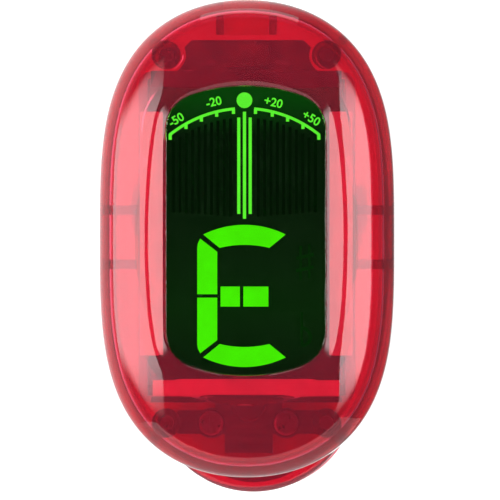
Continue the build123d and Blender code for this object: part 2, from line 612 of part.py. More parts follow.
def torsion_spring():
    """The clip's spring: close turns round the pin and a straight leg against each handle."""
    y, z = CLIP_PIVOT
    front_lean, back_lean = radians(FRONT_LEG_LEAN), radians(BACK_LEG_LEAN)
    turns = SPRING_TURNS + 0.5 - (front_lean + back_lean) / (2 * pi)
    width = turns * SPRING_PITCH
    first = (0, -cos(front_lean), -sin(front_lean))
    coil = Plane(origin=(-width / 2, y, z), x_dir=first, z_dir=(1, 0, 0)) * Helix(SPRING_PITCH, width, SPRING_RADIUS)
    front = coil @ 0 - (coil % 0) * LEG_LENGTH
    back = coil @ 1 + (coil % 1) * LEG_LENGTH
    wire = Wire([Line(front, coil @ 0), coil, Line(coil @ 1, back)])
    start = Plane(origin=front, z_dir=wire % 0)
    return sweep(start * Circle(SPRING_WIRE), path=wire, is_frenet=True)


# --- export -------------------------------------------------------------------------------------
def build():
    """Every node by name, still in head coordinates."""
    return {
        "front_shell": front_shell(),
        "back_shell": back_shell(),
        "window_lens": window_lens(),
        "lcd_glass": lcd_glass(),
        "lcd_chassis": lcd_chassis(),
        "light_guide": light_guide(),
        "zebra_strip": zebra_strip(),
        "circuit_board": circuit_board(),
        "controller_chip": controller_chip(),
        "quartz_crystal": quartz_crystal(),
        "smd_parts": smd_parts(),
        "backlight_leds": backlight_leds(),
        "tact_switch": tact_switch(),
        "piezo_disc": piezo_disc(),
        "friction_ring": friction_ring(),
        "battery_cell": battery_cell(),
        "battery_plus_contact": battery_plus_contact(),
        "battery_minus_contact": battery_minus_contact(),
        "pivot_plate": pivot_plate(),
        "plate_screws": plate_screws(),
        "case_screws": case_screws(),
        "power_button": power_button(),
        "battery_door": battery_door(),
        "swivel_yoke": swivel_yoke(),
        "spindle_clip": spindle_clip(),
        "tilt_screw": hinge_screw(TILT_AXIS, -TILT_EARS[1] - 1.5, TILT_EARS[1] + 0.02),
        "tilt_nut": hinge_nut(TILT_AXIS, -TILT_EARS[1] - 1.3, -TILT_EARS[1] - 0.02),
        "arm_link": arm_link(),
        "arm_screw": hinge_screw(ARM_AXIS, -ARM_EARS[1] - 1.5, ARM_EARS[1] + 0.02),
        "arm_nut": hinge_nut(ARM_AXIS, -ARM_EARS[1] - 1.3, -ARM_EARS[1] - 0.02),
        "front_lever": front_lever(),
        "front_pad": pad(LEVER_INNER, PAD_FACE),
        "pivot_pin": pivot_pin(),
        "torsion_spring": torsion_spring(),
        "back_lever": back_lever(),
        "back_pad": pad(MOVING_PAD_FACE, MOVING_INNER),
    }


def main():
    os.makedirs("parts", exist_ok=True)
    place = Pos(*[-v for v in ORIGIN])
    for name, shape in build().items():
        export_step(place * shape, f"parts/{name}.step")


if __name__ == "__main__":
    main()
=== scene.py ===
# %% [markdown]
# # A clip-on tuner, piece by piece
# The object is an oval display head of clear red plastic.  It turns and tilts on a small arm, and the
# arm hangs on a sprung clip with rubber pads.  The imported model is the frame: it says where every
# piece is and how it moves.  Each cell below makes one piece, or one finish, on that frame.

# %% Load the frame
import bmesh
import bpy
import numpy as np
from mathutils import Matrix, Vector


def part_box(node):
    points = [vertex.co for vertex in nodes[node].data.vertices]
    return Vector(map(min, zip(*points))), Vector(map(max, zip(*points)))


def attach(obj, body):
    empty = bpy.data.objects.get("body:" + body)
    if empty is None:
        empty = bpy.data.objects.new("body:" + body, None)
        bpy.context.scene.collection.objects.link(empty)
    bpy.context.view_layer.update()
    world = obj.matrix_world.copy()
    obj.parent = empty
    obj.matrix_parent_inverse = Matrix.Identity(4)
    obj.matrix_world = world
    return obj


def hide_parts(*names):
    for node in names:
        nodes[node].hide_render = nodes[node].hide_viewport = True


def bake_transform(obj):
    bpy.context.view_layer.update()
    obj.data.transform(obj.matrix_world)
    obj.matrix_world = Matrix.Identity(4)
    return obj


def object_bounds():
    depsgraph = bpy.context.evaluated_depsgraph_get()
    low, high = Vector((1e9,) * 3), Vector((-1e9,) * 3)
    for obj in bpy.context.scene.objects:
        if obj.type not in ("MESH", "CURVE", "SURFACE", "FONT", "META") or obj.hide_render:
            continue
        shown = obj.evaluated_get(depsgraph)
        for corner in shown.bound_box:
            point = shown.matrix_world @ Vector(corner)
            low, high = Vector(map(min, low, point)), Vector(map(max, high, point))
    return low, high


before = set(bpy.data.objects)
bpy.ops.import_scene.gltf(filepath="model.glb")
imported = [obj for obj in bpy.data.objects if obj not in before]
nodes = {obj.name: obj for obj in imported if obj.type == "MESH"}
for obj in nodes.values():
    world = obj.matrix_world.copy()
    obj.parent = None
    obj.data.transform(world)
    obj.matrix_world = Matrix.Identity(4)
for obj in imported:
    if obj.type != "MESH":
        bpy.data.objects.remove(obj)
cad_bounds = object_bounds()

# %% [markdown]
# ## One ruler for the whole lesson
# Every shape is worked out in millimetres from the head's own centre: X to the right, Y from the
# face to the back, Z up.  The back of the head lies 14.8 mm behind the crown of its face, so the
# box of the back shell tells where that centre is in the frame.  Two other choices would be to work
# in metres all the way, or to move each finished object; the first makes every number hard to read
# and the second breaks the rule that a piece sits at the origin with its place in its mesh.

# %% The ruler
MM = 0.001
low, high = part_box("back_shell")
CENTRE = np.array([0.0, high.y - 14.8 * MM, (low.z + high.z) / 2])


def to_frame(points):
    """Millimetres from the head's centre, turned into metres in the frame: centre + points / 1000."""
    return np.asarray(points, float) * MM + CENTRE


print("head centre in the frame, mm:", np.round(CENTRE / MM, 2))

# %% [markdown]
# ## From a grid of points to a mesh
# Most pieces here are surfaces of two parameters: `grid[i, j]` is the point at step i across the
# surface and step j round it.  Four neighbours make a face.  A mould-maker thinks the same way, in
# sections along a part.  Blender's primitives could be pushed and pulled instead, but then the exact
# sizes of the frame would be lost.

# %% Grid to mesh
def quads(rows, columns, wrap_rows):
    """Corner numbers of every face of a grid: each cell takes itself, its right, its upper right and
    its upper neighbour.  The last column meets the first, and so does the last row where rows wrap."""
    i = np.arange(rows if wrap_rows else rows - 1)
    i, j = [a.ravel() for a in np.meshgrid(i, np.arange(columns), indexing="ij")]
    up, right = (i + 1) % rows, (j + 1) % columns
    return np.stack([i * columns + j, i * columns + right, up * columns + right, up * columns + j], 1)


def volume_sign(points, faces):
    """The sign of the enclosed volume: the sum of corner products over the faces' triangles."""
    a, b, c, d = [points[faces[:, k]] for k in range(4)]
    return np.sign((a * np.cross(b, c)).sum() + (a * np.cross(c, d)).sum())


def surface(name, grid, wrap_rows=False, smooth_angle=38.0):
    """One closed surface as a mesh object.  Its faces are turned outwards, rows that shrink to a point
    or a line are merged, and edges sharper than smooth_angle stay crisp."""
    grid = np.asarray(grid, float)
    rows, columns = grid.shape[:2]
    points = grid.reshape(-1, 3)
    faces = quads(rows, columns, wrap_rows)
    if volume_sign(points - points.mean(0), faces) < 0:
        faces = faces[:, ::-1]
    mesh = bpy.data.meshes.new(name)
    mesh.from_pydata(to_frame(points), [], faces)
    work = bmesh.new()
    work.from_mesh(mesh)
    bmesh.ops.remove_doubles(work, verts=work.verts, dist=2e-7)
    bmesh.ops.dissolve_degenerate(work, edges=work.edges, dist=1e-7)
    work.to_mesh(mesh)
    work.free()
    shade(mesh, smooth_angle)
    piece = bpy.data.objects.new(name, mesh)
    bpy.context.scene.collection.objects.link(piece)
    return piece


def shade(mesh, smooth_angle):
    """Smooth shading everywhere except across edges sharper than the angle, in degrees."""
    mesh.polygons.foreach_set("use_smooth", np.ones(len(mesh.polygons), bool))
    mesh.set_sharp_from_angle(angle=np.radians(smooth_angle))
    mesh.update()


def joined(name, pieces, smooth_angle=38.0):
    """Several surfaces as one object, their meshes put side by side."""
    work = bmesh.new()
    for piece in pieces:
        work.from_mesh(piece.data)
        bpy.data.objects.remove(piece)
    mesh = bpy.data.meshes.new(name)
    work.to_mesh(mesh)
    work.free()
    shade(mesh, smooth_angle)
    whole = bpy.data.objects.new(name, mesh)
    bpy.context.scene.collection.objects.link(whole)
    return whole


def cut(piece, cutters, smooth_angle=38.0):
    """Takes the cutters' space out of a piece with exact booleans and keeps the result as its mesh."""
    for cutter in cutters:
        modifier = piece.modifiers.new("cut", "BOOLEAN")
        modifier.operation = "DIFFERENCE"
        modifier.solver = "EXACT"
        modifier.object = cutter
    bpy.context.view_layer.update()
    result = bpy.data.meshes.new_from_object(piece.evaluated_get(bpy.context.evaluated_depsgraph_get()))
    piece.modifiers.clear()
    piece.data = result
    shade(result, smooth_angle)
    for cutter in cutters:
        bpy.data.objects.remove(cutter)
    return piece


def place(piece, body, finish, slot, *stands_for):
    """Gives a piece its finish, lets it ride on its body and hides the CAD nodes it stands for; slot is not
    used.
    """
    piece.data.materials.clear()
    piece.data.materials.append(finish)
    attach(piece, body)
    if stands_for:
        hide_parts(*stands_for)
    print(f"{piece.name}: {len(piece.data.polygons)} faces, rides on {body}")
    return piece


# %% [markdown]
# ## Round things and slabs
# A turned part, such as a screw or a pin, is a profile of radius against length, spun about an axis.
# A slab is an outline with a thickness whose rims are rounded.  Both are grids again: one parameter
# runs round the outline and the other along the profile.

# %% Turned parts and slabs
def turned(profile, axis, centre, steps=64):
    """A profile of (distance along the axis, radius) spun about X, Y or Z through a centre:
    the two other coordinates are radius times cosine and radius times sine."""
    profile = np.asarray(profile, float)
    turn = np.linspace(0, 2 * np.pi, steps, endpoint=False)
    along, radius = profile[:, :1], profile[:, 1:]
    grid = np.empty((len(profile), steps, 3))
    first, second = [k for k in range(3) if k != axis]
    grid[..., axis] = along + centre[axis]
    grid[..., first] = radius * np.cos(turn) + centre[first]
    grid[..., second] = radius * np.sin(turn) + centre[second]
    return grid


def quarter(steps=6):
    """Cosines and sines from 0 to 90 degrees, the steps of a rounded rim."""
    turn = np.linspace(0, np.pi / 2, steps)
    return np.cos(turn), np.sin(turn)


def slab(outline, front, back, rim, hub=(0.0, 0.0), flat_steps=6):
    """A plate in X and Z from Y = front to Y = back: outline(inset) gives its edge drawn smaller by
    inset.  The caps shrink towards the hub, and each rim is a quarter circle of radius rim."""
    cosine, sine = quarter()
    edge = outline(rim)
    hub = np.array([hub[0], hub[1]])
    rows = []
    for share in [*np.linspace(0, 1, flat_steps)[:-1], 0.985]:
        rows.append(np.column_stack([hub[0] + (edge[:, 0] - hub[0]) * share, np.full(len(edge), front),
                                     hub[1] + (edge[:, 1] - hub[1]) * share]))
    for c, s in zip(cosine, sine):
        ring = outline(rim * (1 - s))
        rows.append(np.column_stack([ring[:, 0], np.full(len(ring), front + rim * (1 - c)), ring[:, 1]]))
    half = np.array(rows)
    mirrored_half = half[::-1].copy()
    mirrored_half[..., 1] = front + back - mirrored_half[..., 1]
    return np.concatenate([half, mirrored_half])


# %% [markdown]
# ## The head's two outlines
# Seen from the front, the head is a superellipse: the sum of |x/a| to the power 2.1 and |z/b| to the
# power 3.4 is one.  The window has straight sides, arched ends and round corners.  Both are needed as
# a radius against the angle round a hub, because then every ring between them is a simple mix.

# %% Outlines
HALF_WIDTH, HALF_HEIGHT = 15.398, 24.9
WINDOW_Z = 0.8
ROUND = 512
ANGLES = np.linspace(0, 2 * np.pi, ROUND, endpoint=False)


def radius_at(points, hub_z, angles):
    """An outline's radius in each direction from the hub, read off between its own points."""
    x, z = points[:, 0], points[:, 1] - hub_z
    direction = np.arctan2(z, x) % (2 * np.pi)
    order = np.argsort(direction)
    return np.interp(angles, direction[order], np.hypot(x, z)[order], period=2 * np.pi)


def ring_from(points, hub_z, angles=ANGLES):
    """The outline's points in the given directions from the hub."""
    radius = radius_at(points, hub_z, angles)
    return np.column_stack([radius * np.cos(angles), hub_z + radius * np.sin(angles)])


def oval(inset=0.0, hub_z=WINDOW_Z, angles=ANGLES):
    """The head's superellipse drawn smaller by inset: x = a cos^(2/2.1), z = b sin^(2/3.4)."""
    turn = np.linspace(0, 2 * np.pi, 6001)[:-1]
    c, s = np.cos(turn), np.sin(turn)
    x = (HALF_WIDTH - inset) * np.sign(c) * np.abs(c) ** (2 / 2.1)
    z = (HALF_HEIGHT - inset) * np.sign(s) * np.abs(s) ** (2 / 3.4)
    return ring_from(np.column_stack([x, z]), hub_z, angles)


def window(grow=0.0, angles=ANGLES):
    """The window drawn larger by grow.  One quarter is a straight side, a corner arc and an end arc
    that touches it; the other three quarters mirror it."""
    side, top, corner, end = 8.4 + grow, 15.15 + grow, 3.9 + grow, 16.9 + grow
    corner_x = side - corner
    corner_z = top - end + np.sqrt((end - corner) ** 2 - corner_x**2)
    lean = np.arctan2(corner_z - (top - end), corner_x)
    first = np.linspace(0, lean, 200)
    second = np.linspace(lean, np.pi / 2, 400)
    straight = np.column_stack([np.full(300, side), np.linspace(0, corner_z, 300)])
    round_corner = np.column_stack([corner_x + corner * np.cos(first), corner_z + corner * np.sin(first)])
    arch = np.column_stack([end * np.cos(second), top - end + end * np.sin(second)])
    quarter_line = np.concatenate([straight, round_corner, arch])
    right = np.concatenate([quarter_line * [1, -1], quarter_line])
    whole = np.concatenate([right, right * [-1, 1]])
    return ring_from(whole + [0, WINDOW_Z], WINDOW_Z, angles)


def crown(x, z):
    """How far back the domed face is: a barrel of radius 40 across and 150 along."""
    return 40 - np.sqrt(1600 - x**2) + 150 - np.sqrt(22500 - z**2)


window_width = float(window()[:, 0].max() * 2)
print("head", 2 * HALF_WIDTH, "x", 2 * HALF_HEIGHT, "mm; window", round(window_width, 2), "mm wide")

# %% [markdown]
# ## The clear red plastic
# The shells are tinted styrene, polished in the mould.  Light goes in, loses its green and blue, and
# comes out red, so the finish is mostly transmission with a red base colour.  A painted red would
# hide the works inside.  The back and its door are a milkier pour, and the clip's is in between.
# Real mouldings are never perfectly even: a slow noise varies the tint, and a finer one the polish.

# %% Finishes: helpers
def finish(name, **sockets):
    """A new node material with a Principled shader whose named sockets are set straight away."""
    material = bpy.data.materials.new(name)
    material.use_nodes = True
    shader = material.node_tree.nodes["Principled BSDF"]
    for key, value in sockets.items():
        shader.inputs[key.replace("_", " ")].default_value = value
    return material


def add(owner, kind, **settings):
    """A new node in the tree of a material, a lamp or the world, with settings given by name."""
    node = owner.node_tree.nodes.new(kind)
    for key, value in settings.items():
        setattr(node, key, value)
    return node


def wire(owner, source, target):
    """A link from one socket to another."""
    owner.node_tree.links.new(source, target)


def remap(owner, value, span, result, smooth=False):
    """A value within a span turned in proportion into one within the result, straight or S-shaped."""
    node = add(owner, "ShaderNodeMapRange", interpolation_type="SMOOTHSTEP" if smooth else "LINEAR")
    for socket, number in zip(("From Min", "From Max", "To Min", "To Max"), (*span, *result)):
        node.inputs[socket].default_value = number
    wire(owner, value, node.inputs["Value"])
    return node.outputs["Result"]


def noise(material, scale, detail, stretch=(1, 1, 1)):
    """A noise over object coordinates, in features per metre, stretched along the axes."""
    place_node = add(material, "ShaderNodeTexCoord")
    mapping = add(material, "ShaderNodeMapping")
    mapping.inputs["Scale"].default_value = stretch
    wire(material, place_node.outputs["Object"], mapping.inputs["Vector"])
    texture = add(material, "ShaderNodeTexNoise")
    texture.inputs["Scale"].default_value = scale
    texture.inputs["Detail"].default_value = detail
    wire(material, mapping.outputs["Vector"], texture.inputs["Vector"])
    return texture.outputs["Fac"]


def ramp(material, source, stops):
    """A colour ramp through (position, colour) stops; a single number stands for a grey."""
    node = add(material, "ShaderNodeValToRGB")
    while len(node.color_ramp.elements) < len(stops):
        node.color_ramp.elements.new(0.5)
    for element, (position, colour) in zip(node.color_ramp.elements, stops):
        element.position = position
        element.color = (*np.broadcast_to(colour, 3), 1.0)
    wire(material, source, node.inputs["Fac"])
    return node.outputs["Color"]


def into(material, source, socket):
    """Links a value into the Principled shader's named socket."""
    wire(material, source, material.node_tree.nodes["Principled BSDF"].inputs[socket])


def varied(material, socket, dark, light, scale, detail, edge, stretch=(1, 1, 1)):
    """Lets a socket wander from dark, where a noise is below edge, to light, where it is above
    1 - edge."""
    stops = [(edge, dark), (1 - edge, light)]
    into(material, ramp(material, noise(material, scale, detail, stretch), stops), socket)


def bump(material, source, depth):
    """Raises the surface where the source is bright, by half of depth metres."""
    node = add(material, "ShaderNodeBump")
    node.inputs["Distance"].default_value = depth
    node.inputs["Strength"].default_value = 0.5
    wire(material, source, node.inputs["Height"])
    into(material, node.outputs["Normal"], "Normal")


# %% Finish: clear red plastic
def clear_red(name, tint, clarity=0.94, rough=(0.02, 0.05)):
    """Clear plastic with a tint that wanders a little and a polish that is not quite even.  Clarity is
    the share of light that goes straight through; the rest is scattered, as in slightly milky plastic.
    The body bends light less than real styrene, so that no wall is dark from light caught inside it,
    and a coat with styrene's own index gives the real gloss."""
    coat = {"Coat_Weight": 1.0, "Coat_IOR": 1.5, "Coat_Roughness": 0.02}
    material = finish(name, Transmission_Weight=clarity, IOR=1.16, **coat)
    varied(material, "Base Color", tuple(0.94 * c for c in tint), tint, 260, 2, 0.35)
    varied(material, "Roughness", *rough, 900, 4, 0.3)
    return material


RED = clear_red("clear_red_plastic", (0.89, 0.085, 0.165))
MILKY_RED = clear_red("milky_red_plastic", (0.92, 0.045, 0.10), 0.62)
CLIP_RED = clear_red("clip_red_plastic", (0.74, 0.045, 0.10), 0.86)
DEEP_RED = clear_red("thick_red_plastic", (0.42, 0.06, 0.07))
print("red plastics:", [red.name for red in (RED, MILKY_RED, CLIP_RED, DEEP_RED)])

# %% [markdown]
# ## The clear lens and the display
# The lens is colourless acrylic.  The display behind it is black glass until its segments light up
# green.  Its background is not quite black: the backlight leaks through as a very dark green, more
# of it under the scale at the top and round the note.

# %% Finishes: lens and display
LENS = finish("clear_lens", Transmission_Weight=1.0, IOR=1.46, Roughness=0.0)
varied(LENS, "Base Color", (0.97, 0.98, 0.97), (1.0, 1.0, 1.0), 400, 2, 0.3)


def dark_display():
    """A dark green glow that follows the height on the display: brightest at the scale band."""
    material = finish("dark_display", Roughness=0.08, IOR=1.5, Specular_IOR_Level=0.2, Emission_Strength=1.0)
    place_node = add(material, "ShaderNodeTexCoord")
    split = add(material, "ShaderNodeSeparateXYZ")
    wire(material, place_node.outputs["Object"], split.inputs["Vector"])
    glass_low, glass_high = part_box("lcd_glass")
    height = remap(material, split.outputs["Z"], (glass_low.z, glass_high.z), (0.0, 1.0))
    glow = [(0.0, (0.0005, 0.006, 0.0003)), (0.25, (0.001, 0.015, 0.0006)), (0.5, (0.0006, 0.008, 0.0004)),
            (0.64, (0.0002, 0.006, 0.0002)), (0.82, (0.0002, 0.006, 0.0002)), (0.93, (0.0006, 0.042, 0.0010)),
            (1.0, (0.0006, 0.052, 0.0012))]
    into(material, ramp(material, height, glow), "Emission Color")
    varied(material, "Base Color", (0.001, 0.003, 0.001), (0.002, 0.005, 0.002), 700, 2, 0.4)
    return material


DISPLAY = dark_display()


def lit(name, colour, ink=0.03):
    """Glowing ink: an emission colour that wavers slightly over the surface, on ink of a dark green."""
    material = finish(name, Roughness=0.5, Emission_Strength=1.0, Specular_IOR_Level=0.0)
    varied(material, "Emission Color", tuple(0.93 * c for c in colour), colour, 500, 2, 0.35)
    varied(material, "Base Color", (0.0, 0.7 * ink, 0.0), (0.0, ink, 0.0), 500, 2, 0.35)
    return material


NOTE_GREEN = lit("note_green", (0.065, 0.90, 0.0005))
SCALE_GREEN = lit("scale_green", (0.12, 0.96, 0.035))
UNLIT = lit("unlit_segment", (0.0001, 0.0045, 0.0001), 0.002)
FAINT = lit("faint_sign", (0.001, 0.016, 0.0008), 0.006)

# %% [markdown]
# ## Black plastic, rubber and metals
# The arm and the swivel are black nylon from a spark-eroded mould, which leaves a fine matte grain.
# The pads are soft rubber with a duller face.  The plate, the screws and the spring are steel: the
# plate shows its rolling direction, so its noise is stretched along X.

# %% Finishes: plastics, rubber, metals
def moulded(name, dark, light, rough, grain_scale, grain_depth):
    """Opaque moulded plastic or rubber: two close colours, an uneven gloss and a fine raised grain."""
    material = finish(name)
    varied(material, "Base Color", dark, light, 350, 3, 0.35)
    varied(material, "Roughness", *rough, 1500, 3, 0.3)
    bump(material, noise(material, grain_scale, 2), grain_depth)
    return material


def metal(name, dark, light, rough, stretch=(1, 1, 1)):
    """Metal whose colour and gloss follow one streaked noise."""
    material = finish(name, Metallic=1.0)
    varied(material, "Base Color", dark, light, 1500, 4, 0.3, stretch)
    varied(material, "Roughness", *rough, 1500, 4, 0.3, stretch)
    return material


BLACK = moulded("black_nylon", (0.012, 0.012, 0.013), (0.024, 0.024, 0.026), (0.38, 0.55), 9000, 0.00002)
RUBBER = moulded("pad_rubber", (0.016, 0.015, 0.015), (0.03, 0.028, 0.028), (0.62, 0.8), 6000, 0.00002)
BOARD = moulded("brown_board", (0.06, 0.038, 0.018), (0.11, 0.068, 0.03), (0.4, 0.6), 4000, 0.00001)
CHASSIS = moulded("chassis_plastic", (0.26, 0.22, 0.20), (0.34, 0.29, 0.27), (0.4, 0.55), 5000, 0.00001)
RESIN = moulded("resin_drop", (0.008, 0.008, 0.008), (0.016, 0.016, 0.017), (0.2, 0.35), 3000, 0.00001)
CHIPS = moulded("chip_ceramic", (0.30, 0.22, 0.15), (0.42, 0.33, 0.24), (0.4, 0.55), 5000, 0.00001)
LAMPS = moulded("lamp_plastic", (0.72, 0.74, 0.66), (0.86, 0.88, 0.80), (0.3, 0.45), 5000, 0.00001)
STEEL = metal("rolled_steel", (0.50, 0.48, 0.45), (0.66, 0.64, 0.61), (0.26, 0.42), (0.06, 1, 1))
SCREW_STEEL = metal("screw_steel", (0.42, 0.42, 0.43), (0.60, 0.60, 0.62), (0.24, 0.40))
SPRING_STEEL = metal("spring_steel", (0.48, 0.48, 0.50), (0.66, 0.66, 0.69), (0.20, 0.34))
CELL_STEEL = metal("cell_steel", (0.62, 0.62, 0.63), (0.78, 0.78, 0.79), (0.14, 0.28))
PLATE_STEEL = metal("blackened_steel", (0.10, 0.085, 0.075), (0.17, 0.15, 0.13), (0.35, 0.5), (0.06, 1, 1))
BRASS = metal("brass", (0.55, 0.38, 0.13), (0.74, 0.55, 0.24), (0.26, 0.42))
ACRYLIC = finish("guide_acrylic", Transmission_Weight=0.6, IOR=1.49)
varied(ACRYLIC, "Base Color", (0.80, 0.84, 0.80), (0.92, 0.95, 0.92), 500, 2, 0.3)
varied(ACRYLIC, "Roughness", 0.25, 0.4, 900, 2, 0.3)
print("finishes:", len(bpy.data.materials))

# %% [markdown]
# ## Works that keep their CAD shape
# Inside the head are plain stamped, cut and moulded parts whose CAD shapes are already right, and so
# are the screws, the nuts and the button.  They only need their finishes, which go into the node
# objects' own material slots.

# %% Finishes on the kept CAD nodes
KEPT = {
    "lcd_chassis": CHASSIS, "light_guide": ACRYLIC, "zebra_strip": RUBBER, "circuit_board": BOARD,
    "controller_chip": RESIN, "quartz_crystal": STEEL, "smd_parts": CHIPS, "backlight_leds": LAMPS,
    "tact_switch": BOARD, "piezo_disc": BRASS, "friction_ring": RUBBER, "battery_cell": CELL_STEEL,
    "battery_plus_contact": SPRING_STEEL, "battery_minus_contact": SPRING_STEEL, "pivot_plate": PLATE_STEEL,
    "plate_screws": SCREW_STEEL, "spindle_clip": PLATE_STEEL, "lcd_glass": DISPLAY,
    "case_screws": SCREW_STEEL, "power_button": RED, "tilt_screw": SCREW_STEEL, "tilt_nut": SCREW_STEEL,
    "arm_screw": SCREW_STEEL, "arm_nut": SCREW_STEEL,
}
for name, material in KEPT.items():
    nodes[name].data.materials.clear()
    nodes[name].data.materials.append(material)
print("kept nodes:", len(KEPT))

# %% [markdown]
# ## The front shell
# One moulding: a window edge, a sloping frame that rises from it to a ridge, the domed face, a round
# rim, a side wall down to the joint, and the same again inside, one wall thickness in.  As a surface
# it is a ring of sections that closes on itself.  Sculpting or subdividing a box would give the form
# too, but here the ridge must sit exactly where the slope meets the dome, so it is worked out.

# %% Front shell
SLOPE = 0.33
LENS_Y = 2.0
WALL = 1.3
PARTING = 8.2
RIM = 2.4


def ridge_offset():
    """How far outside the window the slope meets the dome, in every direction: halving the interval
    between no offset and 4 mm until 2 - 0.33 d equals the dome's depth."""
    low_d, high_d = np.zeros(ROUND), np.full(ROUND, 4.0)
    inner, outer = window(0.0), window(4.0)
    for _ in range(30):
        middle = (low_d + high_d) / 2
        point = inner + (outer - inner) * (middle / 4.0)[:, None]
        above = LENS_Y - SLOPE * middle > crown(point[:, 0], point[:, 1])
        low_d, high_d = np.where(above, middle, low_d), np.where(above, high_d, middle)
    return low_d


def ring(outline, y):
    """A closed row of points: an outline in X and Z with its Y, one number or one per point."""
    return np.column_stack([outline[:, 0], np.broadcast_to(y, len(outline)), outline[:, 1]])


def face_height(outline, offset):
    """The slope and the dome, whichever is deeper, blended over a tenth of a millimetre."""
    slope = LENS_Y - SLOPE * offset
    dome = crown(outline[:, 0], outline[:, 1])
    return (slope + dome + np.sqrt((slope - dome) ** 2 + 0.004)) / 2


def front_shell_rows():
    """All sections of the front shell, from the lens seat outwards over the face and back inside."""
    ridge = ridge_offset()
    inner, outer = window(0.0), window(4.0)
    rim_line = oval(RIM)
    rows = [ring(inner, 3.0), ring(inner, LENS_Y + 0.12), ring(window(0.04), LENS_Y + 0.02)]
    for share in (0.06, 0.2, 0.4, 0.6, 0.75, 0.86, 0.93, 0.97, 1.0):
        line = inner + (outer - inner) * (ridge * share / 4.0)[:, None]
        rows.append(ring(line, face_height(line, ridge * share)))
    crest = inner + (outer - inner) * (ridge / 4.0)[:, None]
    for share in (0.015, 0.04, 0.08, 0.15, 0.25, 0.4, 0.55, 0.7, 0.85):
        line = crest + (rim_line - crest) * share
        away = ridge + np.hypot(*(line - crest).T)
        rows.append(ring(line, face_height(line, away)))
    for lean in np.radians(np.linspace(0, 90, 15)):
        line = oval(RIM * (1 - np.sin(lean)))
        rows.append(ring(line, crown(line[:, 0], line[:, 1]) + RIM * (1 - np.cos(lean))))
    rows += [ring(oval(), PARTING - 1.0), ring(oval(), PARTING - 0.12), ring(oval(0.12), PARTING)]
    rows += [ring(oval(WALL), PARTING), ring(oval(WALL), PARTING - 1.5)]
    for lean in np.radians(np.linspace(90, 0, 7)):
        line = oval(WALL + 1.0 * (1 - np.sin(lean)))
        rows.append(ring(line, crown(line[:, 0], line[:, 1]) + WALL + 0.1 + 1.0 * (1 - np.cos(lean))))
    land = window(2.5)
    inside = oval(WALL + 1.0)
    for share in (0.7, 0.4, 0.1):
        line = land + (inside - land) * share
        rows.append(ring(line, crown(line[:, 0], line[:, 1]) + WALL + 0.1))
    deep = np.maximum(crown(land[:, 0], land[:, 1]) + WALL + 0.1, 3.0)
    rows += [ring(land, deep), ring(window(2.3), 3.0), ring(window(0.8), 3.0)]
    return np.array(rows)


shell_rows = front_shell_rows()
front = surface("shell_front", shell_rows, wrap_rows=True)


def block(x, y, z, name="cutter"):
    """A plain rectangular block between pairs of limits, as a four-cornered tube with closed ends."""
    corners = np.array([[x[0], z[0]], [x[1], z[0]], [x[1], z[1]], [x[0], z[1]]])
    middle = corners.mean(0)
    rows = [ring(np.repeat(middle[None], 4, 0), y[0]), ring(corners, y[0]), ring(corners, y[1]),
            ring(np.repeat(middle[None], 4, 0), y[1])]
    return surface(name, np.array(rows), smooth_angle=10)


cut(front, [block((-2.3, 2.3), (5.35, 9.0), (20.0, 27.0))])
place(front, "head", RED, "red_plastic", "front_shell")

# %% [markdown]
# ## Bosses and ribs inside the front shell
# Four posts take the case screws, and short ribs stiffen the side walls.  Through the clear plastic
# they show as darker rings and bars, so they are made as real pieces inside.

# %% Posts
POST_X, TOP_POST_Z, LOW_POST_Z = 8.3, 19.1, -19.2
POST_RADIUS, HOLE_RADIUS = 1.5, 0.75


def post(x, z, back_y):
    """A post from the shell's inner skin to Y = back_y, with a blind hole from its back: a profile out
    along the wall and back down the hole."""
    skin = float(crown(x, z)) + WALL + 0.35
    bottom = skin + 1.4
    profile = [(skin, 0.0), (skin, POST_RADIUS - 0.1), (skin + 0.1, POST_RADIUS), (back_y - 0.1, POST_RADIUS),
               (back_y, POST_RADIUS - 0.1), (back_y, HOLE_RADIUS), (bottom, HOLE_RADIUS), (bottom, 0.0)]
    return surface("post", turned(profile, 1, (x, 0.0, z), 40), smooth_angle=30)


posts = [post(side * POST_X, TOP_POST_Z, 8.8) for side in (-1, 1)]
posts += [post(side * POST_X, LOW_POST_Z, 11.05) for side in (-1, 1)]
print("posts:", len(posts))


# %% Ribs
def pair(x, half):
    """The X limits of two strips, one on each side at x from the middle, each of this half width."""
    return [(side * x - half, side * x + half) for side in (-1, 1)]


RIB_DEPTH = (4.4, 8.1)
ribs = [block(x, RIB_DEPTH, (z - 0.5, z + 0.5)) for x in pair(12.8, 1.4) for z in (2.95, -2.7)]
ribs += [block(x, RIB_DEPTH, (21.2, 23.3)) for x in pair(2.75, 0.4)]
place(joined("shell_posts_and_ribs", posts + ribs, 30), "head", DEEP_RED, "red_plastic")

# %% [markdown]
# ## The back shell
# A tray with a round back edge, a step for the battery door, a battery wall, and holes for the
# screws and the spindle.  The rings run from the door's opening outwards, so here the hub is the
# battery's centre.  The two shells stop 0.04 mm short of each other: where two clear surfaces share
# one plane, light cannot tell which it meets first, and the whole rim would turn dark.

# %% Back shell
BACK = 14.8
BACK_RIM = 3.4
SEAM = 8.24
CELL_Z = 3.0
SPINDLE_Z = -17.3
DOOR = np.column_stack([np.cos(ANGLES), np.sin(ANGLES)])


def circle(radius):
    """A circle round the battery's centre; the radius is one number or one per direction."""
    return DOOR * np.broadcast_to(radius, ROUND)[:, None] + [0, CELL_Z]


def back_oval(inset):
    """The head's outline as seen from the battery's centre."""
    return oval(inset, hub_z=CELL_Z)


def near(angle, half, base):
    """True in the directions within half degrees of base or of the opposite direction."""
    off = (np.degrees(angle) - base + 90) % 180 - 90
    return np.abs(off) <= half


